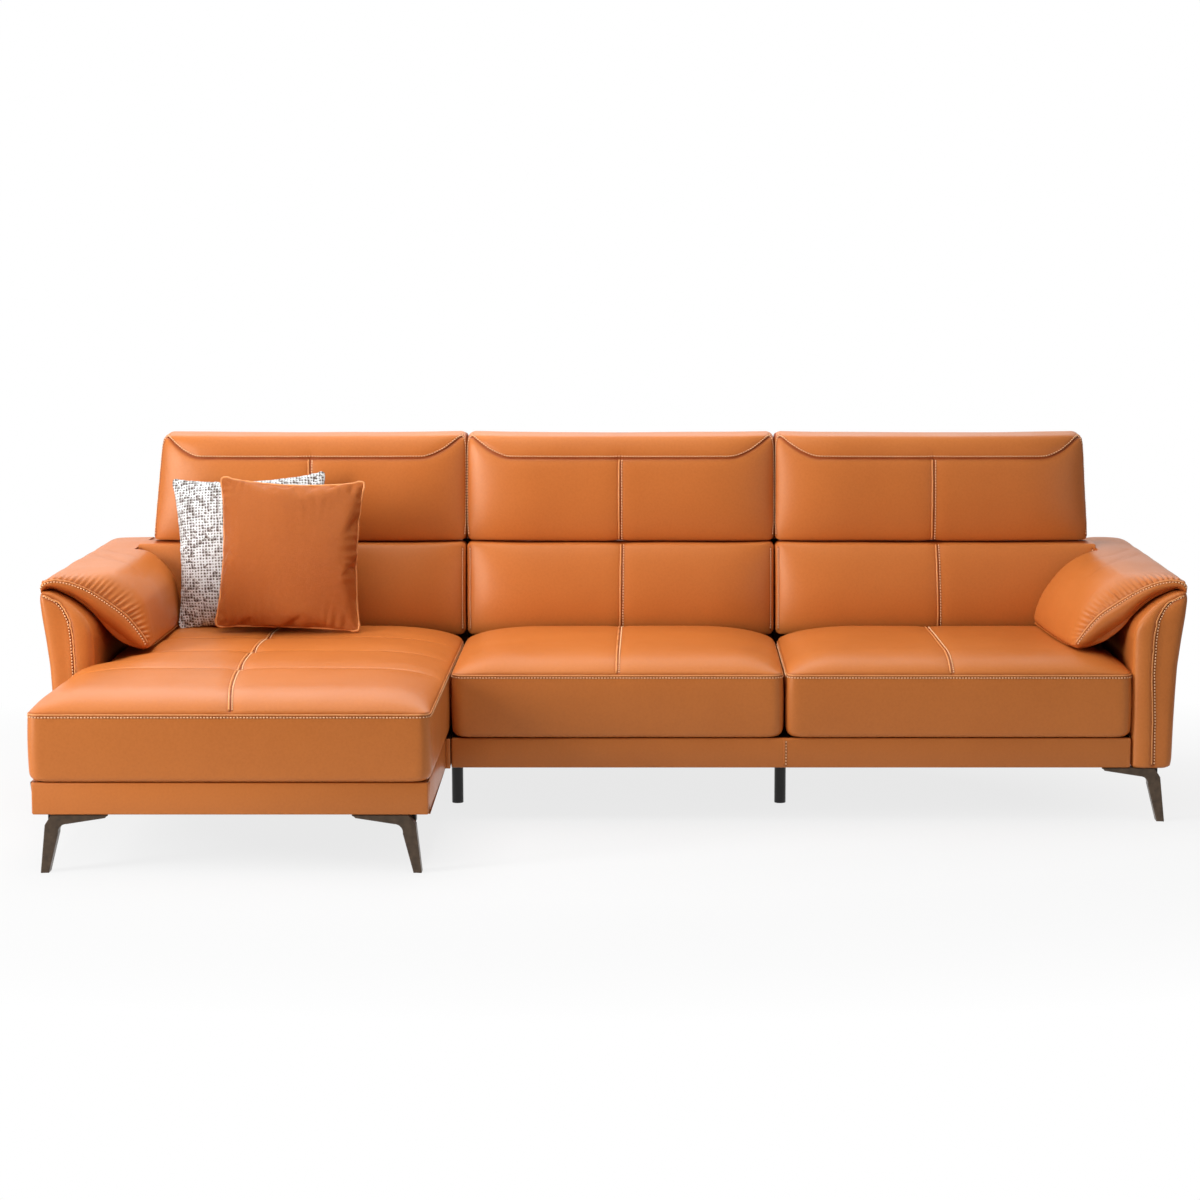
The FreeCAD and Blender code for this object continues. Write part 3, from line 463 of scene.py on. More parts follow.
# %% Seams sunk into a surface
def sunk(bm, line, depth, width, dip=0.0, dip_width=0.02, pucker=0.0, pucker_pitch=0.014, pucker_width=0.02, seed=1,
         painted_shade=1.0):
    """Sink a seam line into a surface, with a wide dip and puckers beside it."""
    tree = kdtree.KDTree(len(line))
    for i, point in enumerate(line):
        tree.insert(point, i)
    tree.balance()
    bm.normal_update()
    layer = bm.verts.layers.float["painted_shade"]
    reach = max(3 * width, 2.5 * dip_width if dip else 0, 2.5 * pucker_width if pucker else 0)
    pitch = (line[1] - line[0]).length
    for v in bm.verts:
        _, index, distance = tree.find(v.co)
        if distance > reach:
            continue
        drop = depth * bell(distance, width) + dip * bell(distance, dip_width)
        if pucker:
            along = index * pitch / pucker_pitch
            wave = math.sin(2 * math.pi * along + 2.2 * noise.noise((along * 0.35, seed, 0.0)))
            size = 0.6 + 0.4 * noise.noise((along * 0.8, seed + 5.0, 0.0))
            drop += pucker * size * wave * math.exp(-distance / pucker_width) * (1 - bell(distance, 0.004))
        # Painted shade, darkest at the seam line.
        v[layer] = max(v[layer], painted_shade * bell(distance, 1.6 * width))
        v.co -= v.normal * drop


def ruffled(bm, size, seed, height=0.0012, keep=lambda co: 1.0):
    """Slow, low unevenness, as hand-filled cushions have."""
    bm.normal_update()
    for v in bm.verts:
        value = noise.noise(v.co / size + Vector((seed * 7.1, 0, 0)))
        v.co += v.normal * value * height * keep(v.co)


# %% [markdown]
# Welts and stitches are laid on after the cushion has its shape, so they follow the leather exactly. A
# welt is a small ring of points that is extruded from frame to frame along its line. A stitch is a tiny
# bead of thread, and between two stitches a dark bead paints the shade of the needle hole that they pull on.


# %% Welts
def snapped(surface, line, lift):
    """A line laid on a surface: each place with its normal."""
    result = []
    for point in line:
        near, normal = surface.find_nearest(point)[:2]
        result.append((near + normal * lift, normal.copy()))
    return result


def turned(along, normal):
    """A frame whose Z runs along a line and whose X stands off the surface."""
    z = along.normalized()
    x = (normal - normal.dot(z) * z).normalized()
    return Matrix((x, z.cross(x), z)).transposed().to_4x4()


WELT_STRETCH = 40


def welt(bm, laid, half_width, half_height):
    """A welt along a laid line: a flattened ring, extruded from place to place in short stretches."""
    places = [p for p, n in laid]
    frames = []
    for i, (point, normal) in enumerate(laid):
        along = places[min(i + 1, len(places) - 1)] - places[max(i - 1, 0)]
        flat = Matrix.Diagonal((half_height, half_width, 1.0, 1.0))
        frames.append(Matrix.Translation(point) @ turned(along, normal) @ flat)
    for first in range(0, len(frames) - 1, WELT_STRETCH):
        stretch = frames[first:first + WELT_STRETCH + 1]
        part = bmesh.new()
        ring = bmesh.ops.create_circle(part, cap_ends=first == 0, segments=8, radius=1.0, matrix=stretch[0])["verts"]
        edges = list({e for v in ring for e in v.link_edges})
        for before, after in zip(stretch, stretch[1:]):
            made = bmesh.ops.extrude_edge_only(part, edges=edges)["geom"]
            edges = [g for g in made if isinstance(g, bmesh.types.BMEdge)]
            verts = [g for g in made if isinstance(g, bmesh.types.BMVert)]
            bmesh.ops.transform(part, matrix=after @ before.inverted(), verts=verts)
        if first + WELT_STRETCH + 1 >= len(frames):
            bmesh.ops.edgeloop_fill(part, edges=edges)
        carrier = bpy.data.meshes.new("carrier")
        part.to_mesh(carrier)
        part.free()
        bm.from_mesh(carrier)
        bpy.data.meshes.remove(carrier)
    bmesh.ops.remove_doubles(bm, verts=bm.verts, dist=0.00002)


# %% Stitches
STITCH_PITCH = 0.008
STITCH_SIZE = (0.0020, 0.0020, 0.0028, 1.0)
HOLE_SIZE = (0.00065, 0.0013, 0.0013, 1.0)


def bead(name, around, along, index):
    """A tiny ball, to be stretched into a stitch or pressed into a needle hole, where its dark brown is painted
    shade.
    """
    bm = bmesh.new()
    bmesh.ops.create_uvsphere(bm, u_segments=around, v_segments=along, radius=1.0)
    for face in bm.faces:
        face.material_index = index
    mesh = bpy.data.meshes.new(name)
    bm.to_mesh(mesh)
    bm.free()
    return mesh


stitch_bead = bead("stitch_bead", 6, 4, 0)
# The second bead carries the needle holes' dark brown, painted shade.
hole_shade_bead = bead("hole_shade_bead", 5, 3, 1)


def placed(bm, form, matrix):
    copy = form.copy()
    copy.transform(matrix)
    bm.from_mesh(copy)
    bpy.data.meshes.remove(copy)


def stitched(bm, laid):
    """Stitches at each laid place, material 0, with dark beads of painted shade in the needle holes between them,
    material 1.
    """
    for (point, normal), (after, _) in zip(laid, laid[1:]):
        along = after - point
        if along.length < 1e-6:
            continue
        turn = turned(along, normal)
        placed(bm, stitch_bead, Matrix.Translation(point.lerp(after, 0.5)) @ turn @ Matrix.Diagonal(STITCH_SIZE))
        placed(bm, hole_shade_bead, Matrix.Translation(point) @ turn @ Matrix.Diagonal(HOLE_SIZE))


# %% Pieces
def piece(bm, name, body, materials, replaced=(), clean=True):
    """The finished mesh as an object that rides on a body and stands for its CAD nodes."""
    if clean:
        bmesh.ops.recalc_face_normals(bm, faces=bm.faces)
    for face in bm.faces:
        face.smooth = True
    mesh = bpy.data.meshes.new(name)
    bm.to_mesh(mesh)
    bm.free()
    for material in materials:
        mesh.materials.append(material)
    obj = in_scene(name, mesh)
    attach(obj, body)
    if replaced:
        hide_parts(*replaced)
    print(f"{name}: {len(mesh.polygons)} faces, {time.perf_counter() - started:.1f} s")
    return obj


def sewing(name, body, surface, lines):
    """All the stitches of one cushion as one object."""
    bm = bmesh.new()
    for line in lines:
        stitched(bm, snapped(surface, resample(line, STITCH_PITCH), 0.0003))
    piece(bm, name, body, [thread, needle_hole_shade], clean=False)


def upholstered(bm, name, body, replaced, welts, rows):
    """A cushion with its welts and its stitches. A welt is a line, a lift and two half sizes."""
    surface = surface_of(bm)
    trim = bmesh.new()
    for line, lift, half_width, half_height in welts:
        welt(trim, snapped(surface, line, lift), half_width, half_height)
    piece(bm, name, body, [tan_leather], replaced)
    # The welts take the lighter seam leather, a painted highlight on their ridges.
    piece(trim, f"{name}_welts", body, [seam_highlight_leather])
    sewing(f"{name}_stitches", body, surface, rows)


# %% [markdown]
# A seat cushion is a boxed cushion: a flat band of leather round the sides, a crowned panel sewn on top
# with a welt along the front, and one seam that runs back through the panel. The crown rises fast behind
# the welt and then flattens, as foam does under tight leather, and the band bulges by a millimetre or two.
# The chaise is the same cushion made longer. Shallow tufting channels cross it, its seam bows to the left,
# and it is cut back beside the left arm.

# %% Seat cushions
SEAT_SEAM = 0.392
SEAT_RISE = 0.047
SEAT_CORNER = 0.030
SEAT_FOOT = 0.011


def top_edge_point(left, right, front, rear, share):
    """A place on a seat's top edge, from its left rear corner round the front to the right one."""
    straight, arc = (right - left) / 2 - SEAT_CORNER, math.pi / 2 * SEAT_CORNER
    distance = (2 * share - 1) * (straight + arc + rear - front - SEAT_CORNER)
    side, distance = (1 if distance > 0 else -1), abs(distance)
    turn = min(max(distance - straight, 0.0) / SEAT_CORNER, math.pi / 2)
    x = (left + right) / 2 + side * (min(distance, straight) + SEAT_CORNER * math.sin(turn))
    return side, x, front + SEAT_CORNER * (1 - math.cos(turn)) + max(distance - straight - arc, 0.0)


def seat_cushion(name, seam_at, channels=(), notch=None):
    """A seat whose seam stands at seam_at(share). A notch cuts it back on the left from a Y, by a width."""
    low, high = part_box(f"{name}_seat_cover")
    left, right, front, rear, base = low.x, high.x, low.y, high.y, low.z
    middle_x, middle_y = (left + right) / 2, (front + rear) / 2
    half_x, half_y = (right - left) / 2, (rear - front) / 2
    seam_start = seam_at(0.5)

    def cut_back(y):
        return notch[1] * smooth_step((y - notch[0]) / 0.022) if notch else 0.0

    def shape(x, y, z):
        share = (y - front) / (rear - front)
        near_seam = min((x - left) / (seam_start - left), (right - x) / (right - seam_start))
        x += (seam_at(share) - seam_start) * smooth_step(near_seam)
        height = (z - base) / (SEAT_SEAM - base)
        top = z > SEAT_SEAM - 1e-6
        bulge = 0.0 if top else 0.0024 * 4 * height * (1 - height)
        hx = half_x + bulge - fallen_back(z - base, 2 * SEAT_FOOT)
        hy = half_y + bulge - fallen_back(z - base, SEAT_FOOT)
        px, py = rounded((x - middle_x) * hx / half_x, (y - middle_y) * hy / half_y, hx, hy, SEAT_CORNER)
        x, y = px + middle_x, py + middle_y
        x += cut_back(y) * max(0.0, 1 - (x - left) / 0.25) ** 2
        if top:
            from_left = x - left - cut_back(y)
            wide = 0.135 + 0.085 * smooth_step(share * 1.4)
            crown = swell(from_left, wide) * swell(right - x, wide) * swell(y - front, 0.165)
            crown *= 0.80 + 0.20 * swell(rear - y, 0.05)
            z = SEAT_SEAM + SEAT_RISE * crown
            strength = swell(from_left, 0.16) * swell(right - x, 0.16)
            for n, channel in enumerate(channels):
                bend = 0.016 * math.sin(math.pi * (x - left) / (right - left)) * (1 if n % 2 else 0.6)
                off = abs(y - front - channel - bend)
                z -= strength * (0.0055 * bell(off, 0.045) + 0.0026 * bell(off, 0.006))
        return Vector((x, y, z))

    across = lines_between([left, seam_start, right], 0.0022, 0.014)
    back = lines_between([front, *(front + c for c in channels), rear], 0.0030 if channels else 0.0024, 0.014)
    bm = shaped(across, back, graded(base, SEAT_SEAM, 0.003, 0.014), shape)
    surface = surface_of(bm)
    crest = SEAT_SEAM + SEAT_RISE
    seam_line = cast(surface, [(seam_at(i / 150), blend(front, rear, i / 150), crest + 0.02)
                               for i in range(1, 150)], DOWN)
    sunk(bm, seam_line, 0.0028, 0.0038, 0.0030 if channels else 0.0022, 0.020)
    for channel in channels:
        crossing = Vector((seam_at(channel / (rear - front)), front + channel, crest))
        hit = surface.find_nearest(crossing)[0]
        sunk(bm, [hit, hit + Vector((0.001, 0, 0))], 0.0035, 0.010, 0.0040, 0.030)
    welt_line = []
    for i in range(401):
        side, x, y = top_edge_point(left, right, front, rear, i / 400)
        welt_line.append((x + (cut_back(y) if side < 0 else 0.0), y, SEAT_SEAM))
    welt_line = resample(welt_line, 0.005)
    sunk(bm, welt_line, 0.0010, 0.0030)
    ruffled(bm, 0.16, len(name), keep=lambda co: 1.0 if co.z > SEAT_SEAM + 0.01 else 0.25)
    ridge = resample(moved(seam_line, x=-0.0012), 0.008)
    upholstered(bm, f"{name}_seat", "sofa_body", (f"{name}_seat_cover", f"{name}_seat_foam"),
                [(welt_line, 0.0002, 0.0020, 0.0018), (ridge, 0.0005, 0.0030, 0.0022)],
                [moved(welt_line, z=-0.0062), moved([p for p in seam_line if p.y < rear - 0.03], x=0.0045)])


def chaise_seam(share):
    """The chaise's seam bows to the left as it runs back."""
    return -0.916 * (1 - share) * (1 - 2 * share) - 0.966 * 4 * share * (1 - share) - 0.947 * share * (2 * share - 1)


arm_low, arm_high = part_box("left_arm_cover")
middle_low, middle_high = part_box("middle_seat_cover")
seat_cushion("chaise", chaise_seam, (0.448, 0.728, 0.966),
             (arm_low.y - 0.026, arm_high.x + 0.002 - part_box("chaise_seat_cover")[0].x))
seat_cushion("middle", lambda share: (middle_low.x + middle_high.x) / 2)
seat_cushion("right", lambda share: 0.886 - 0.012 * share)

# %% [markdown]
# The lumbar cushions stand behind the seats and lean back by a few degrees. Only their faces show, so the
# face is the panel: it swells from a sewn edge on all four sides, in two halves with a raised seam
# between them, and it falls away fast at the sides, which is where the leather catches the light. Deep in
# the gaps between two cushions the leather's colour is darkened as painted shade.

# %% Lumbar cushions
LUMBAR_LEAN = math.tan(math.radians(5.5))
ROW_LEFT, ROW_RIGHT = -1.322, 1.342
BACK_SWELL = 0.62


def back_gap_painted_shade(x, depth):
    """How much painted shade darkens the sides of a back cushion; the outer ends of the row get none."""
    return smooth_step((depth - 0.03) / 0.15) if ROW_LEFT < x < ROW_RIGHT else 0.0


def side_bulge(depth, from_side):
    """How far the side of a back cushion swells out, halfway to its rear."""
    return 0.0012 * math.sin(math.pi * depth) * smooth_step(1 - from_side / 0.02)


def lumbar_cushion(name, seam_low, seam_high, crowns=(0.060, 0.060), radii=(0.016, 0.016)):
    """A lumbar cushion. The crowns and corner radii are those of its left and its right side."""
    low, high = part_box(f"{name}_lumbar_cover")
    left, right, rear, bottom, top = low.x - 0.0022, high.x + 0.0022, high.y, low.z, high.z
    face = middle_high.y + 0.002
    seam_start = (seam_low + seam_high) / 2

    def shape(x, depth, z):
        share = (z - bottom) / (top - bottom)
        near = min((x - left) / (seam_start - left), (right - x) / (right - seam_start))
        x += (blend(seam_low, seam_high, share) - seam_start) * smooth_step(near)
        from_side, from_end = min(x - left, right - x), min(top - z, z - bottom)
        crown = blend(*crowns, smooth_step((x - left) / (right - left)))
        upward = swell(top - z, 0.210, BACK_SWELL) * swell(z - bottom, 0.160, BACK_SWELL)
        fullness = swell(from_side, 0.200, BACK_SWELL)
        front = face + (z - bottom) * LUMBAR_LEAN + crown * (1 - fullness)
        front += 0.040 * (1 - upward) * (0.25 + 0.75 * fullness)
        side = 1 if x > (left + right) / 2 else -1
        shift_x, shift_z = corner_shift(from_side, from_end, radii[side > 0])
        x -= side * shift_x
        z -= (1 if top - z < z - bottom else -1) * shift_z
        x += side * side_bulge(depth, from_side)
        near_top = smooth_step(1 - (top - z) / 0.01)
        z += (0.0025 * math.sin(math.pi * depth) - 0.002) * near_top
        return Vector((x, blend(front, rear, depth), z))

    across = lines_between([left, seam_start, right], 0.0022, 0.013)
    # The sides take the painted shade of the gaps between cushions.
    bm = shaped(across, graded(0.0, 1.0, 0.06, 0.16), graded(bottom, top, 0.0026, 0.013), shape,
                lambda x, depth, z: back_gap_painted_shade(x, depth))
    surface = surface_of(bm)
    seam_line = cast(surface, [(blend(seam_low, seam_high, i / 100), face - 0.05, blend(bottom, top, i / 100))
                               for i in range(1, 100)], INTO_BACK)
    sunk(bm, seam_line, 0.0030, 0.0040, 0.0030, 0.020)
    sides = [cast(surface, [(x, face - 0.08, blend(bottom + 0.016, top - 0.016, i / 59)) for i in range(60)],
                  INTO_BACK) for x in (left + 0.0085, right - 0.0085)]
    for n, line in enumerate(sides):
        sunk(bm, line, 0.0008, 0.0022, pucker=0.0016, pucker_pitch=0.022, pucker_width=0.018, seed=n + 3)
    ruffled(bm, 0.15, len(name) + 11)
    upholstered(bm, f"{name}_lumbar", "sofa_body", (f"{name}_lumbar_cover", f"{name}_lumbar_foam"),
                [(resample(moved(seam_line, x=-0.0010), 0.008), 0.0006, 0.0030, 0.0024)],
                [moved(seam_line, x=0.0042)] + sides)


lumbar_cushion("left", -0.885, -0.885, (0.016, 0.060), (0.005, 0.016))
lumbar_cushion("middle", 0.012, 0.014)
lumbar_cushion("right", 0.916, 0.910, (0.060, 0.016), (0.016, 0.005))

# %% [markdown]
# The upper back cushions tip back on their hinges. A band of leather wraps over the top, sewn to the face
# along a seam that runs level and then curves up into each corner. The grid bends with that seam, so one
# row of its lines always lies on it, and the profile above it rolls back to the rounded top. Under the rear
# edge a shallow pocket leaves room for each hinge bracket when the cushion is tipped.

# %% Upper back cushions
HEAD_LEAN = math.tan(math.radians(10.0))
HEAD_THICK = 0.160
BAND_HEIGHT = 0.903
HINGE_SPREAD = 0.250
HEAD_ROLL = ((0.0, 0.0), (0.70, 0.0), (0.78, 0.0008), (0.84, 0.0024), (0.90, 0.0055), (0.94, 0.0095), (0.965, 0.0145),
             (0.985, 0.0225), (0.995, 0.0330), (1.0, 0.0460))


def head_cushion(name, seam_x, draws):
    """An upper back cushion. The draws are how far its left and its right side lean in at the top."""
    low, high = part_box(f"{name}_headrest_cover")
    left, right, bottom, top = low.x - 0.0062, high.x + 0.0062, low.z, high.z
    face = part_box("middle_headrest_cover")[0].y
    middle, half = (left + right) / 2, (right - left) / 2
    hinges = [(low.x + high.x) / 2 + offset - 0.0023 for offset in (-HINGE_SPREAD, HINGE_SPREAD)]

    def band_at(x):
        off = abs(x - middle)
        return BAND_HEIGHT + 0.056 * min(max((off - (half - 0.125)) / 0.108, 0.0), 1.05) ** 1.7

    def shape(x, depth, z):
        seam = band_at(x)
        if z <= BAND_HEIGHT:
            z = bottom + (z - bottom) * (seam - bottom) / (BAND_HEIGHT - bottom)
        else:
            z = top - (top - z) * (top - seam) / (top - BAND_HEIGHT)
        share = (z - bottom) / (top - bottom)
        from_side, from_end = min(x - left, right - x), min(top - z, z - bottom)
        fullness = swell(from_side, 0.210, BACK_SWELL)
        upward = swell(z - bottom, 0.200, BACK_SWELL)
        leaning = face + (z - bottom) * HEAD_LEAN
        front = leaning + between(HEAD_ROLL, share) + 0.058 * (1 - fullness) * (1 - 0.35 * share**3)
        front += 0.042 * (1 - upward) * (0.25 + 0.75 * fullness)
        behind = leaning + HEAD_THICK - 0.018 * max(0.0, (share - 0.93) / 0.07) ** 2
        behind -= 0.006 * max(0.0, 1 - share / 0.05) ** 2
        side = 1 if x > middle else -1
        x -= side * share * draws[side > 0] * smooth_step(1 - from_side / 0.30)
        high_up = top - z < z - bottom
        ahead = 1.0 if high_up else 1 - smooth_step((depth - 0.08) / 0.22)
        shift_x, shift_z = corner_shift(from_side, from_end, 0.022 if high_up else 0.016)
        x -= side * shift_x * ahead
        z -= (1 if high_up else -1) * shift_z * ahead
        z -= 0.004 * share**6 * (1 - ((x - middle) / half) ** 2)
        x += side * side_bulge(depth, from_side)
        arch = 0.003 * (math.sin(math.pi * depth) - 1) * smooth_step(1 - (top - z) / 0.01)
        off = min(abs(x - hinge) for hinge in hinges)
        pocket = smooth_step((0.030 - off) / 0.020) * smooth_step((depth - 0.55) / 0.2)
        arch += 0.009 * pocket * max(0.0, 1 - (z - bottom) / 0.050)
        return Vector((x, blend(front, behind, depth), z + arch))

    across = lines_between([left, seam_x, right], 0.0022, 0.013)
    up = lines_between([bottom, BAND_HEIGHT, top], 0.0024, 0.013)
    # The sides take the painted shade of the gaps; the rear and the top take none.
    bm = shaped(across, graded(0.0, 1.0, 0.05, 0.11), up, shape,
                lambda x, depth, z: 0.0 if depth > 0.999 or z > top - 0.001 else back_gap_painted_shade(x, depth))
    surface = surface_of(bm)
    band_line = nearest_line(surface, [shape(blend(left + 0.004, right - 0.004, i / 199), 0.0, BAND_HEIGHT)
                                       for i in range(200)])
    seam_line = cast(surface, [(seam_x, face - 0.05, blend(bottom, band_at(seam_x), i / 100))
                               for i in range(1, 100)], INTO_BACK)
    sides = []
    for x, inwards in ((left, 0.0075), (right, -0.0075)):
        goals = [shape(x, 0.0, blend(bottom + 0.012, top - 0.018, i / 79)) for i in range(80)]
        sides.append(nearest_line(surface, moved(goals, x=inwards)))
    sunk(bm, band_line, 0.0030, 0.0034, 0.0018, 0.016, 0.0014, 0.018, 0.014, 5)
    sunk(bm, seam_line, 0.0030, 0.0040, 0.0030, 0.020)
    for n, line in enumerate(sides):
        sunk(bm, line, 0.0008, 0.0024, pucker=0.0012, pucker_pitch=0.024, pucker_width=0.016, seed=n + 7)
    ruffled(bm, 0.15, len(name) + 23)
    upholstered(bm, f"{name}_upper_back", f"{name}_headrest", (f"{name}_headrest_cover", f"{name}_headrest_foam"),
                [(resample(moved(seam_line, x=-0.0010), 0.008), 0.0006, 0.0030, 0.0024)],
                [moved(seam_line, x=0.0046), moved(band_line, z=0.0054)] + sides)


head_cushion("left", -0.873, (0.029, 0.0))
head_cushion("middle", 0.0085, (0.0, 0.0))
head_cushion("right", 0.900, (0.0, 0.016))

# %% [markdown]
# Where four back cushions meet, their rounded corners leave a small hole. A tab of black cloth set behind it
# paints the hole's shadow, and the shelf behind doesn't show.


# %% Tabs of painted shadow between the back cushions
def small_box(bm, size, centre):
    made = bmesh.ops.create_cube(bm, size=1.0)["verts"]
    bmesh.ops.scale(bm, vec=size, verts=made)
    bmesh.ops.translate(bm, vec=centre, verts=made)


def eased(bm, edges, radius, segments=3):
    """Round the edges of a box or a board."""
    bmesh.ops.bevel(bm, geom=edges, offset=radius, affect="EDGES", segments=segments, profile=0.5, material=-1)


# Black tabs: painted shadow in the holes between the cushions.
shadow_tabs = bmesh.new()
for neighbour in ("left", "middle"):
    join_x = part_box(f"{neighbour}_lumbar_cover")[1].x + 0.0045
    small_box(shadow_tabs, (0.034, 0.003, 0.020), (join_x, 0.577, 0.6562))
eased(shadow_tabs, shadow_tabs.edges[:], 0.0008, 2)
piece(shadow_tabs, "painted_shadow_tabs", "sofa_body", [black_cloth])

# %% [markdown]
# An arm of the real sofa is a timber box with padding glued over it, and a leather cover pulled tight. Seen
# from the front it is widest at the top and leans in towards the floor. Its front has two panels: a flat one
# on the outside and a soft roll on the inside, joined by a topstitched seam that curves out to the top
# corner. The block's grid is bent to that outline, which three tables give as pairs of a height or a
# distance from the outside and the other of the two. The front falls back round its inner and upper edge.

# %% Arms
ARM_HEIGHT = 0.466
SEAM_HEIGHT = 0.461
ARM_SIDE = ((0.145, 0.0440), (0.150, 0.0345), (0.167, 0.0313), (0.274, 0.0283), (0.349, 0.0253), (0.416, 0.0220),
            (0.484, 0.0140), (0.547, 0.0050), (0.590, 0.0006), (0.603, 0.0016), (0.611, 0.0060))
ARM_SLOPE = ((0.0, 0.6110), (0.022, 0.6105), (0.036, 0.6060), (0.050, 0.5985), (0.067, 0.5885), (0.083, 0.5770),
             (0.098, 0.5635), (0.110, 0.5505), (0.120, 0.5385), (0.128, 0.5270), (0.134, 0.5120), (0.138, 0.4860))
ARM_SEAM = ((0.145, 0.0834), (0.274, 0.0834), (0.399, 0.0884), (0.484, 0.0853), (0.534, 0.0790), (0.568, 0.0630),
            (0.588, 0.0435), (0.606, 0.0060))


def arm(name, side):
    low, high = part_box(f"{name}_arm_cover")
    outer_x = high.x if side > 0 else low.x
    front, rear, base, wide = low.y, high.y, low.z, high.x - low.x

    def shape(s, depth, h):
        rise = h * ARM_HEIGHT
        outer = between(ARM_SIDE, base + rise)
        seam_share = (between(ARM_SEAM, base + h * SEAM_HEIGHT) - outer) / (wide - outer)
        s = s * 2 * seam_share if s < 0.5 else seam_share + (s - 0.5) * 2 * (1 - seam_share)
        u = outer + s * (wide - outer)
        u -= 0.008 * max(0.0, 1 - rise / 0.008) ** 2 * max(0.0, (s - 0.9) / 0.1)
        slope = between(ARM_SLOPE, u)
        z = base + h * (slope - base)
        inner_off, outer_off = wide - u, u - outer
        below = (slope - z) * 0.75
        near = (max(inner_off, 1e-4) ** -4 + max(below, 1e-4) ** -4) ** -0.25
        setback = 0.025 * (1 - math.sqrt(1 - max(1 - near / 0.048, 0.0) ** 2)) * smooth_step((u + 0.01) / 0.06)
        setback = max(setback, fallen_back(outer_off, 0.016)) + 0.006 * max(0.0, 1 - rise / 0.007) ** 2
        behind = 0.010 * max(0.0, 1 - inner_off / 0.010) ** 2 + 0.010 * max(0.0, 1 - outer_off / 0.010) ** 2
        puff = 0.0020 * math.sin(math.pi * min(outer_off / 0.05, 1.0))
        puff += 0.0040 * smooth_step((0.075 - inner_off) / 0.03)
        return Vector((outer_x - side * u, blend(front + 0.001 - puff + setback, rear - behind, depth), z))

    across = lines_between([0.0, 0.50, 1.0], 0.030, 0.075)
    bm = welded(shaped(across, graded(0.0, 1.0, 0.003, 0.035), graded(0.0, 1.0, 0.006, 0.024), shape))
    surface = surface_of(bm)
    heights = [base + 0.010 + 0.448 * i / 119 for i in range(120)]
    seam_line = cast(surface, [(outer_x - side * between(ARM_SEAM, z), front - 0.05, z) for z in heights], INTO_BACK)
    sunk(bm, seam_line, 0.0028, 0.0040, 0.0016, 0.014)
    ruffled(bm, 0.14, len(name) + 31, 0.0010)
    upholstered(bm, f"{name}_arm", "sofa_body", (f"{name}_arm_cover",),
                [(resample(moved(seam_line, x=-side * 0.0012), 0.008), 0.0005, 0.0024, 0.0020)],
                [moved(seam_line, x=side * 0.0036)])


arm("left", -1)
arm("right", 1)

# %% [markdown]
# A padded armrest lies on each arm and hangs down to the seat on the inside. It is sewn from two panels: a
# long one that goes over the top and underneath, and an almond-shaped one that closes the front. The long
# panel is cut longer than the almond's upper edge and gathered on to it, so short pleats fan out behind the
# seam. Each cross-section is a pair of smooth lines, over and under the pad, drawn through a few places in
# millimetres: the distance from the arm's outside, and the height.

# %% Outlines of the arm pads
PAD_SEAM = ((2.5, 603), (0.5, 612), (1.5, 623), (8, 632), (24, 638), (47, 637.5), (85, 626), (131, 601), (178.5, 568),
            (216.4, 539), (247.7, 501), (268, 470), (275, 455))
PAD_UNDER = ((2.5, 603), (6, 608.5), (14, 612.5), (26, 613.5), (52.5, 601), (84, 582), (114, 554), (146, 515),
             (192, 479), (234, 452), (258, 443), (270, 446), (275, 455))
REAR_UNDER = ((2.5, 603), (6, 608.5), (14, 612.5), (26, 613.5), (60, 597), (84, 582), (114, 554), (139, 527),
              (152, 505), (172, 478), (200, 456), (240, 445), (285, 442), (306, 442.5))
REAR_OVER = {
    "right": ((2.5, 603), (0.5, 614), (2, 628), (9, 639), (25, 648), (50, 652), (100, 653), (135, 650), (170, 643),
              (217, 619), (256, 584), (291, 537), (311, 492), (318, 462), (315, 447), (306, 442.5)),
    "left": ((2.5, 603), (0.5, 614), (2, 628), (9, 639), (25, 648), (50, 652), (110, 654), (160, 653), (205, 643),
             (255, 613), (292, 577), (306, 545), (313, 513), (318, 468), (315, 448), (306, 442.5))}
PAD_REACH = {"left": (0.262, 0.266), "right": (0.275, 0.318)}
REACH_GROWTH = ((0, 0), (0.06, 0.2), (0.25, 0.6), (0.56, 1.0), (1.0, 1.0))
PAD_STEPS = 120
ARM_EDGE = 0.138
PAD_WALL = 0.1395
PAD_SLANT = 0.34


def stretched(u, far, reach):
    """Distances past the arm's inner edge, scaled so that the farthest of them reaches a goal."""
    return ARM_EDGE + (u - ARM_EDGE) * (reach - ARM_EDGE) / (far - ARM_EDGE)


def outline(places, reach):
    """A smooth line through places in millimetres, in equal steps, with its overhang made to reach."""
    far = max(u for u, z in places) / 1000
    points = []
    for u, z in places:
        u = u / 1000
        points.append(Vector((stretched(u, far, reach) if u > ARM_EDGE else u, 0.0, z / 1000)))
    ends = [points[0] * 2 - points[1]] + points + [points[-1] * 2 - points[-2]]
    fine = []
    for a, b, c, d in zip(ends, ends[1:], ends[2:], ends[3:]):
        for step in range(12):
            t = step / 12
            fine.append(0.5 * ((2 * b) + (c - a) * t + (2 * a - 5 * b + 4 * c - d) * t**2
                               + (3 * b - a - 3 * c + d) * t**3))
    line = resample(fine + [points[-1]])
    total = sum((b - a).length for a, b in zip(line, line[1:]))
    return np.array([(p.x, p.z) for p in resample(line, total / PAD_STEPS)])


# %% Arm pads
CREASES = (((0.04, 0.50), (0.16, 0.30)), ((0.06, 0.58), (0.17, 0.44)), ((0.09, 0.43), (0.21, 0.27)))


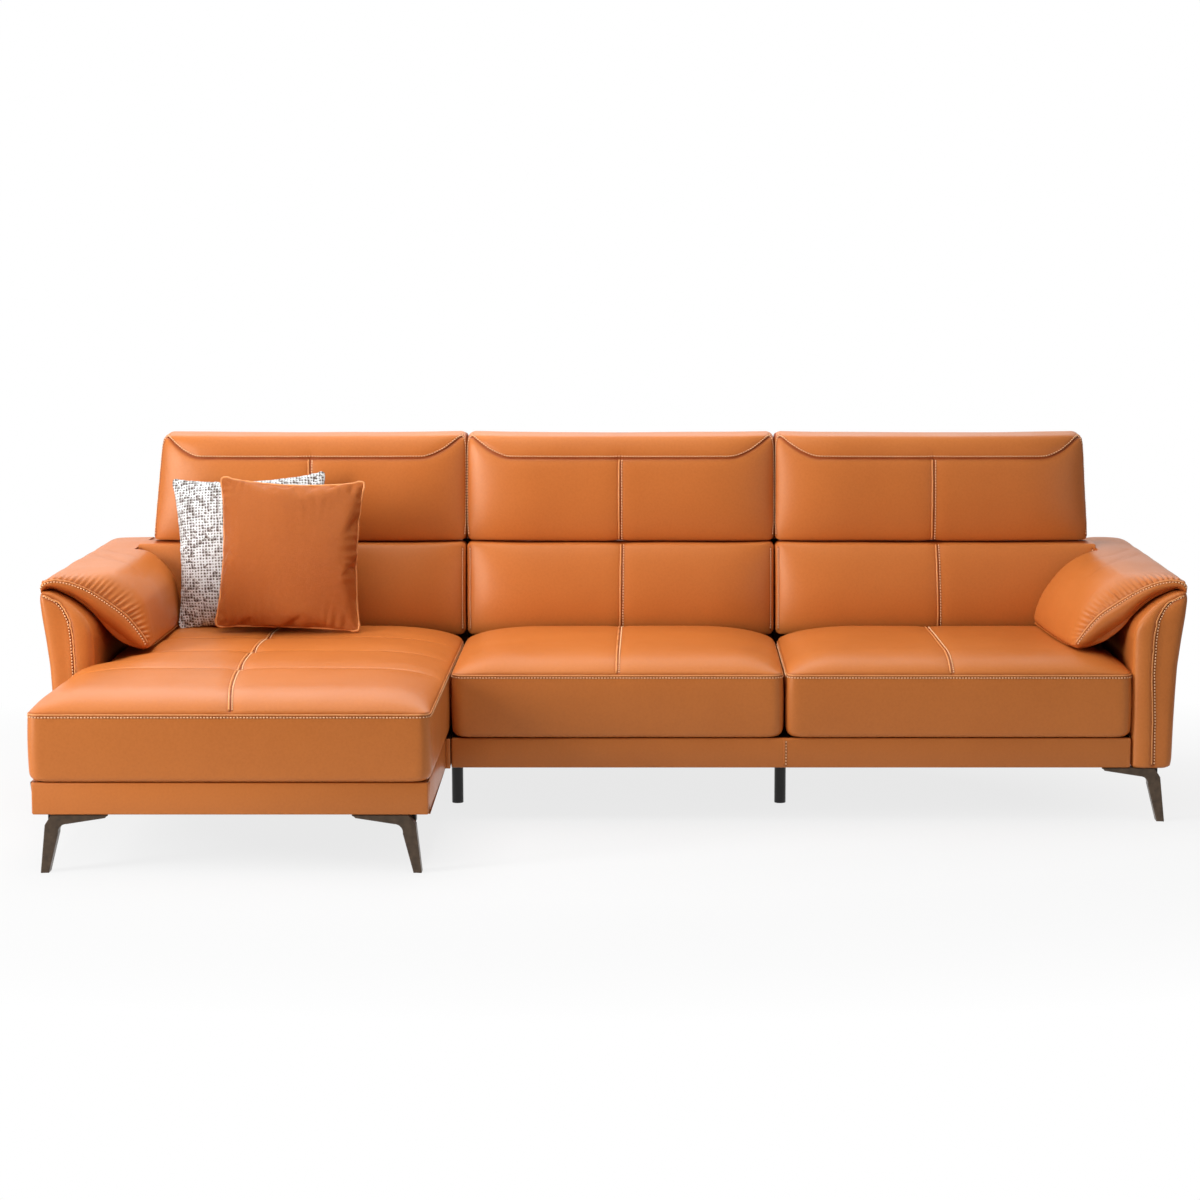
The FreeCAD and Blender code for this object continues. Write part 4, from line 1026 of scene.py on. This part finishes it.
def arm_pad(name, side):
    low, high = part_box(f"{name}_arm_pad_cover")
    outer_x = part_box(f"{name}_arm_cover")[side > 0].x
    front, length = low.y, high.y - low.y
    beside = middle_high.y - front
    near, far = PAD_REACH[name]
    seam, under = outline(PAD_SEAM, near), outline(PAD_UNDER, near)
    rear_over, rear_under = outline(REAR_OVER[name], far), outline(REAR_UNDER, far)

    def section(t):
        """The lines over and under the pad at a distance from its front."""
        full = 1 - math.exp(-t / 0.050)
        reach = blend(near, far, between(REACH_GROWTH, t))
        lines = []
        for first, last in ((seam, rear_over), (under, rear_under)):
            line = first * (1 - full) + last * full
            out = line[:, 0] > ARM_EDGE
            line[out, 0] = stretched(line[out, 0], line[:, 0].max(), reach)
            lines.append(line)
        if t > beside:
            risings = [line[:np.argmax(line[:, 0]) + 1] for line in lines]
            heights = [np.interp(PAD_WALL, rising[:, 0], rising[:, 1]) for rising in risings]
            for line, height in zip(lines, heights):
                first = int(np.argmax(line[:, 0] > PAD_WALL))
                shares = np.arange(PAD_STEPS - first + 1) / (PAD_STEPS - first)
                line[first:, 0] = PAD_WALL
                line[first:, 1] = blend(height, sum(heights) / 2, shares)
        close = max(0.0, (t - length + 0.03) / 0.03) ** 2
        lines[0][:, 1] -= 0.010 * close
        lines[0][:, 0] += 0.006 * close * (1 - lines[0][:, 0] / ARM_EDGE).clip(0)
        return lines

    def pleat(over, i, s, t):
        """How far the gathered leather stands off at step i, a share s along and t behind the seam."""
        step = over[min(i + 2, PAD_STEPS)] - over[max(i - 2, 0)]
        along = s * seam_length / 0.0135
        wave = math.sin(2 * math.pi * along + 1.8 * noise.noise((along * 0.4, 3.0, side)))
        size = 0.70 + 0.9 * noise.noise((along * 0.7, 9.0, side))
        fade = math.exp(-(t / 0.027) ** 1.5) * (1 - bell(t, 0.004))
        fade = fade * smooth_step(s / 0.06) * smooth_step((1 - s) / 0.08)
        puff = 0.003 * (1 - bell(t, 0.008)) * math.exp(-t / 0.05)
        return Vector((-step[1], 0, step[0])).normalized() * (0.0062 * size * wave * fade + puff)

    marks = [0.0, 0.075, beside - 0.0005, beside + 0.0015, length]
    back = lines_between(marks[:2], 0.0026, 0.0040) + lines_between(marks[1:3], 0.006, 0.016)[1:]
    back += lines_between(marks[3:], 0.006, 0.016)
    sections = {}
    seam_length = float(np.hypot(*np.diff(seam, axis=0).T).sum())

    def shape(s, t, h):
        i = round(s * PAD_STEPS)
        key = round(t, 5)
        if key not in sections:
            sections[key] = section(t)
        over, below = sections[key]
        slack = math.sin(math.pi * min(max(s, 0.0), 1.0)) ** 0.5
        curl = max(0.0, 1 - t / 0.030)
        foot = Vector((below[i][0], 0, below[i][1] + 0.012 * slack * curl**2))
        place = foot.lerp(Vector((over[i][0], 0, over[i][1])), h)
        y = front + t + PAD_SLANT * max(0.0, 1 - t / (length / 2)) * place.x
        y += 0.020 * slack * curl * (1 - h) ** 2
        if t < 1e-6:
            y -= 0.013 * slack * math.sin(math.pi * h) ** 0.7
        if h > 0.999 and t < 0.09:
            place += pleat(over, i, s, t)
        return Vector((outer_x - side * place.x, y, place.z))

    across = [i / PAD_STEPS for i in range(PAD_STEPS + 1)]
    bm = welded(shaped(across, back, graded(0.0, 1.0, 0.05, 0.12), shape))
    surface = surface_of(bm)
    seam_line = nearest_line(surface, [Vector((outer_x - side * u, front + PAD_SLANT * u, z))
                                       for u, z in seam[7:PAD_STEPS - 1]])
    sunk(bm, seam_line, 0.0010, 0.0030)
    # Each crease sinks a little and takes a little painted shade.
    for start, end in CREASES:
        starts = []
        for share in (i / 29 for i in range(30)):
            y = front + start[1] + (end[1] - start[1]) * share - 0.03 * math.sin(math.pi * share)
            starts.append((outer_x - side * blend(start[0], end[0], share), y, 0.8))
        sunk(bm, cast(surface, starts, DOWN), 0.0006, 0.0040, 0.0008, 0.014, painted_shade=0.15)
    ruffled(bm, 0.13, len(name) + 41, 0.0022, lambda co: 0.3 if co.z < 0.47 else 1.0)
    upholstered(bm, f"{name}_arm_pad", "sofa_body", (f"{name}_arm_pad_cover", f"{name}_arm_pad_fill"),
                [(resample(seam_line, 0.006), 0.0010, 0.0024, 0.0024)],
                [moved(seam_line, side * 0.0030, -0.004, -0.0050)])


arm_pad("left", -1)
arm_pad("right", 1)

# %% [markdown]
# Below the seats runs a leather skirt over a timber rail, and the back is closed with a leather panel that
# turns forward over the top as a narrow shelf. Both are stiff boards under leather, so their edges are
# small and even. The CAD solid already has the right form: a merged copy of it gets a bevel along every
# sharp edge, and its topstitching is laid on afterwards. Where the main skirt meets the side of the chaise,
# a narrow facing covers the corner of the timber frame.


# %% Boards covered in leather
def covered_board(node, name):
    """A CAD board with eased edges, as a piece; hands back its surface for the stitches."""
    bm = bmesh.new()
    bm.from_mesh(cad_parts[node].data)
    bmesh.ops.remove_doubles(bm, verts=bm.verts, dist=0.00002)
    bmesh.ops.dissolve_limit(bm, angle_limit=math.radians(1.5), verts=bm.verts, edges=bm.edges)
    eased(bm, [e for e in bm.edges if len(e.link_faces) == 2 and e.calc_face_angle() > math.radians(30)], 0.004)
    surface = surface_of(bm)
    piece(bm, name, "sofa_body", [tan_leather], (node,))
    return surface


covered_board("chaise_skirt", "chaise_skirt_leather")
main_skirt_surface = covered_board("main_skirt", "main_skirt_leather")
skirt_low, skirt_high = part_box("main_skirt")
facing = bmesh.new()
corner_low, corner_high = Vector((-0.4418, -0.1862, skirt_low.z)), Vector((-0.4300, -0.1762, skirt_high.z))
small_box(facing, corner_high - corner_low, (corner_low + corner_high) / 2)
eased(facing, facing.edges[:], 0.0015)
piece(facing, "join_facing", "sofa_body", [tan_leather])
rear_surfaces = {unit: covered_board(f"{unit}_rear_panel", f"{unit}_rear_leather") for unit in ("chaise", "main")}

# %% Seams of the boards
UNIT_JOIN_X = 0.449
PANEL_INSET = 0.010
skirt_seam = [Vector((UNIT_JOIN_X, skirt_low.y, z)) for z in (skirt_low.z + 0.006, skirt_high.z - 0.006)]
trim = bmesh.new()
welt(trim, snapped(main_skirt_surface, resample(skirt_seam, 0.008), 0.0002), 0.0026, 0.0013)
piece(trim, "main_skirt_welt", "sofa_body", [tan_leather])
sewing("main_skirt_stitches", "sofa_body", main_skirt_surface, [moved(skirt_seam, x=0.004)])
for unit, surface in rear_surfaces.items():
    low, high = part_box(f"{unit}_rear_panel")
    left, right, bottom, top = low.x + PANEL_INSET, high.x - PANEL_INSET, low.z + PANEL_INSET, high.z - PANEL_INSET
    corners = ((left, bottom), (left, top), (right, top), (right, bottom), (left, bottom))
    sewing(f"{unit}_rear_stitches", "sofa_body", surface, [[Vector((x, high.y, z)) for x, z in corners]])

# %% [markdown]
# A loose pillow is two square panels sewn together all round and stuffed. Nothing draws its wrinkles better
# than a cloth simulation: a flat pouch is blown up by pressure with gravity off, so its sides draw in, its
# corners stay as points and the cloth buckles along its edges. The result is kept as a plain mesh, brought
# to the size of the CAD pillow and laid in its place. The tweed's pattern follows a map of the flat panel.


# %% A pouch, blown up
LAST_STEP = 39


def pouch(width, height, pitch):
    """A flat, thin pouch with a map of its cloth in metres."""
    bm = block(graded(-width / 2, width / 2, pitch * 0.6, pitch), [-0.003, 0.0, 0.003],
               graded(-height / 2, height / 2, pitch * 0.6, pitch))
    layer = bm.loops.layers.uv.new("weave")
    for face in bm.faces:
        for loop in face.loops:
            loop[layer].uv = (loop.vert.co.x, loop.vert.co.z)
    for v in bm.verts:
        middle = max((1 - (2 * v.co.x / width) ** 2) * (1 - (2 * v.co.z / height) ** 2), 0.0)
        v.co.y *= 1 + 6.0 * middle**0.7
        v.co.x, v.co.z = rounded(v.co.x, v.co.z, width / 2, height / 2, 0.022)
    bmesh.ops.recalc_face_normals(bm, faces=bm.faces)
    return bm


def blown_up(bm, stiffness, bending, thick):
    """The pouch after a short cloth simulation, stopped at a thickness, as a new bmesh."""
    data = bpy.data.meshes.new("pouch")
    bm.to_mesh(data)
    bm.free()
    obj = in_scene("pouch", data)
    cloth = obj.modifiers.new("stuffing", "CLOTH")
    cloth.settings.quality = 6
    cloth.settings.mass = 0.25
    cloth.settings.tension_stiffness = stiffness
    cloth.settings.compression_stiffness = stiffness
    cloth.settings.shear_stiffness = stiffness * 0.4
    cloth.settings.bending_stiffness = bending
    cloth.settings.use_pressure = True
    cloth.settings.uniform_pressure_force = 2.5
    cloth.settings.effector_weights.gravity = 0
    cloth.collision_settings.use_collision = False
    for step in range(1, LAST_STEP + 1):
        bpy.context.scene.frame_set(step)
        full = bpy.data.meshes.new_from_object(obj.evaluated_get(bpy.context.evaluated_depsgraph_get()))
        depths = [v.co.y for v in full.vertices]
        if max(depths) - min(depths) > thick or step == LAST_STEP:
            break
        bpy.data.meshes.remove(full)
    bpy.data.objects.remove(obj)
    bpy.context.scene.frame_set(1)
    result = bmesh.new()
    result.from_mesh(full)
    bpy.data.meshes.remove(full)
    return result


# %% [markdown]
# Four things are done to the blown pouch. It is scaled to the pillow's size and thinned towards its edge.
# Its rim is carried to four shallow arcs between the corners, and the cloth near the rim goes with it. Short
# wrinkles are raised along the edge, in patches. Folds fan out from each corner.


# %% Loose pillows
PANEL_CUT = 1.07
RIM_ARCS = {"top": ((False, True), (True, True), (0, 0, -0.017)),
            "bottom": ((False, False), (True, False), (0, 0, 0.005)),
            "left": ((False, False), (False, True), (0.013, 0, 0)),
            "right": ((True, False), (True, True), (-0.013, 0, 0))}


def rim_shifts(bm, flat, order, half_x, half_z):
    """How each rim point moves to its arc, as a tree of the flat panel's rim with a list of shifts."""
    ends, rim = {}, set(order)
    for i, (a, c) in enumerate(flat):
        if abs(abs(a) - abs(c) * half_x / half_z) < 0.02 and i in rim:
            key = (a > 0, c > 0)
            if key not in ends or bm.verts[i].co.length > ends[key].length:
                ends[key] = bm.verts[i].co.copy()
    tree, shifts = kdtree.KDTree(len(order)), []
    for n, i in enumerate(order):
        a, c = flat[i][0] / half_x, flat[i][1] / half_z
        upright = abs(c) > abs(a)
        arc = ("top" if c > 0 else "bottom") if upright else ("right" if a > 0 else "left")
        along = a if upright else c
        start, end, dent = RIM_ARCS[arc]
        goal = ends[start].lerp(ends[end], (along + 1) / 2) + Vector(dent) * (1 - along**2)
        shift = goal - bm.verts[i].co
        shift.y = 0
        shifts.append(shift * smooth_step((1 - abs(along)) / 0.12))
        tree.insert((flat[i][0], flat[i][1], 0), n)
    tree.balance()
    return tree, shifts


def pillow(name, body, finish, size, centre, roll, lean, stiffness, bending, piped):
    """A loose pillow of a size, turned by a roll and leant back, in degrees."""
    width, height, thick = size
    half_x, half_z = width * PANEL_CUT / 2, height * PANEL_CUT / 2
    bm = pouch(2 * half_x, 2 * half_z, 0.0075)
    rim = [v for v in bm.verts if abs(v.co.y) < 1e-6]
    rim.sort(key=lambda v: math.atan2(v.co.z / height, v.co.x / width))
    order = [v.index for v in rim]
    flat = [(v.co.x, v.co.z) for v in bm.verts]
    bm = blown_up(bm, stiffness, bending, thick * 1.1)
    bm.verts.ensure_lookup_table()
    for axis, goal in enumerate((width, thick, height)):
        values = [v.co[axis] for v in bm.verts]
        start, end = min(values), max(values)
        print(f"{name}: cloth spans {1000 * (end - start):.0f} mm, wanted {1000 * goal:.0f} mm")
        for v in bm.verts:
            v.co[axis] = (v.co[axis] - (start + end) / 2) * goal / (end - start)
    for v, (a, c) in zip(bm.verts, flat):
        fullness = max(0.0, 1 - (a / half_x) ** 2) * max(0.0, 1 - (c / half_z) ** 2)
        v.co.y *= 0.58 + 0.42 * fullness**0.5
    inwards = [max(min(half_x, half_z) - max(abs(a), abs(c)), 0.0) for a, c in flat]
    tree, shifts = rim_shifts(bm, flat, order, half_x, half_z)
    for v, (a, c), inward in zip(bm.verts, flat, inwards):
        near = [(shifts[n], 1 / (d + 0.004) ** 2) for co, n, d in tree.find_n((a, c, 0), 8)]
        weight = sum(w for s, w in near)
        v.co += sum((s * w for s, w in near), Vector()) / weight * bell(inward, 0.07)
    bm.normal_update()
    laid = (Matrix.Translation(centre) @ Matrix.Rotation(math.radians(-lean), 4, "X")
            @ Matrix.Rotation(math.radians(roll), 4, "Y"))
    for v, (a, c), inward in zip(bm.verts, flat, inwards):
        along = (c if abs(a) > abs(c) else a) / 0.026
        wave = math.sin(2 * math.pi * along + 3.0 * noise.noise((along * 0.5, a * 9, c * 9)))
        gather = max(0.0, 0.45 + noise.noise((a * 9, c * 9, 4.0)) * 1.7)
        v.co += v.normal * 0.0040 * wave * gather * math.exp(-inward / 0.036) * (1 - bell(inward, 0.006))
        corner = Vector((half_x - abs(a), half_z - abs(c), 0))
        fan = math.sin(9.0 * math.atan2(corner.y, corner.x) + 2.0 * noise.noise((a * 4, c * 4, 8.0)))
        v.co += v.normal * 0.0042 * fan * smooth_step(corner.length / 0.03) * math.exp(-corner.length / 0.055)
        v.co = laid @ v.co
    bm.normal_update()
    if piped:
        rim_line = [(bm.verts[i].co.copy(), bm.verts[i].normal.copy()) for i in order]
        trim = bmesh.new()
        welt(trim, (rim_line + rim_line[:2])[::2], 0.0034, 0.0034)
        # The piping takes the lighter seam leather, a painted highlight.
        piece(trim, f"{name}_piping", body, [seam_highlight_leather])
    soft = piece(bm, name, body, [finish], (f"{body}_cover", f"{body}_filling"))
    smooth = soft.modifiers.new("smooth", "SUBSURF")
    smooth.levels = 1
    smooth.render_levels = 1


pillow("leather_cushion", "leather_pillow", pillow_leather,
       (0.405, 0.424, 0.128), (-0.905, 0.2973, 0.6545), 2.0, 10.0, 9.0, 0.8, True)
pillow("tweed_cushion", "fabric_pillow", tweed,
       (0.436, 0.428, 0.098), (-1.026, 0.40005, 0.6536), -3.0, 10.0, 7.0, 0.3, False)

# %% [markdown]
# The floor is a plain pale sheet. To the camera it gives most of its own white, and all of it farther out,
# so it joins the white background, but near the sofa part of it is still lit, so the sofa keeps its soft
# shadow. In the leather's reflections it is white close by and darkens farther out.
# The world is white to the camera and much dimmer as a lamp. In reflections it is bright behind the sofa
# and overhead, and dim in front, as a studio with its lamps round the sofa would be.


# %% Floor and world
def seen_rays(tree):
    """Camera rays alone, and together with the rays that mirrors and glass send on."""
    path = tree.nodes.new("ShaderNodeLightPath").outputs
    seen = maths("MAXIMUM", path["Is Camera Ray"], path["Is Glossy Ray"])
    return path["Is Camera Ray"], maths("MAXIMUM", seen, path["Is Transmission Ray"])


def joined(tree, share, first, second, output):
    """Two shaders mixed into a tree's output."""
    join = new_node(tree, "ShaderNodeMixShader", {0: share, 1: first.outputs[0], 2: second.outputs[0]})
    new_node(tree, output, {"Surface": join.outputs[0]})


floor_mesh = bmesh.new()
bmesh.ops.create_grid(floor_mesh, x_segments=2, y_segments=2, size=30.0)
floor_data = bpy.data.meshes.new("floor")
floor_mesh.to_mesh(floor_data)
floor_mesh.free()
floor = in_scene("floor", floor_data)
floor_finish = bpy.data.materials.new("studio_floor")
floor_finish.use_nodes = True
floor_data.materials.append(floor_finish)
tree = floor_finish.node_tree
tree.nodes.clear()
camera_ray, seen = seen_rays(tree)
spot = tree.nodes.new("ShaderNodeTexCoord").outputs["Object"]
oval = new_node(tree, "ShaderNodeMapping", {"Scale": (0.62, 1.0, 1.0), "Vector": spot}).outputs["Vector"]
away = new_node(tree, "ShaderNodeVectorMath", {0: oval}, operation="LENGTH").outputs["Value"]
own_share = spread(away, 0.7, 2.0, 0.80, 1.0)
close_by = spread(away, 1.0, 2.6, 1.0, 0.06)
lit = new_node(tree, "ShaderNodeBsdfDiffuse",
               {"Color": mixed(close_by, (0.05, 0.05, 0.05, 1), (0.62, 0.62, 0.62, 1))})
own = new_node(tree, "ShaderNodeEmission", {"Color": (1, 1, 1, 1), "Strength": 1.0})
darkened = times(maths("SUBTRACT", seen, camera_ray), maths("SUBTRACT", 1.0, close_by))
joined(tree, times(maths("SUBTRACT", seen, darkened), own_share), lit, own, "ShaderNodeOutputMaterial")

world = bpy.data.worlds.new("studio")
bpy.context.scene.world = world
world.use_nodes = True
tree = world.node_tree
tree.nodes.clear()
camera_ray, seen = seen_rays(tree)
direction = tree.nodes.new("ShaderNodeTexCoord").outputs["Generated"]
parts = new_node(tree, "ShaderNodeSeparateXYZ", {0: direction}).outputs
behind = spread(parts["Y"], -0.7, 0.3, 0.12, 0.85)
above = spread(parts["Z"], 0.30, 0.85, 0.0, 0.75)
mirrored = times(maths("SUBTRACT", seen, camera_ray), maths("MAXIMUM", behind, above))
dim = new_node(tree, "ShaderNodeBackground", {"Color": (1, 1, 1, 1), "Strength": 0.27})
white = new_node(tree, "ShaderNodeBackground",
                 {"Color": (1, 1, 1, 1), "Strength": maths("MAXIMUM", mirrored, camera_ray)})
joined(tree, seen, dim, white, "ShaderNodeOutputWorld")
print("floor and world ready")


# %% Lamps
def lamp(name, place, target, size, power):
    """A soft rectangular lamp that faces a target."""
    data = bpy.data.lights.new(name, "AREA")
    data.shape = "RECTANGLE"
    data.size, data.size_y = size
    data.energy = power
    obj = in_scene(name, data)
    obj.location = place
    obj.rotation_euler = (Vector(target) - Vector(place)).to_track_quat("-Z", "Y").to_euler()
    return obj


lamp("window", (-4.4, -2.4, 1.7), (0.0, 0.3, 0.6), (1.0, 2.6), 198.0)
ceiling = lamp("ceiling", (-0.8, -0.1, 3.2), (0.0, -0.1, 0.4), (3.8, 2.0), 102.0)
ceiling.visible_glossy = False
lamp("behind", (-0.7, 3.0, 3.1), (-0.4, -0.3, 0.4), (5.0, 2.2), 42.0)
lamp("right_fill", (4.0, -3.0, 1.6), (0.3, 0.0, 0.5), (2.2, 2.0), 20.0)
bpy.context.scene.view_settings.view_transform = "Standard"
print("lamps ready")
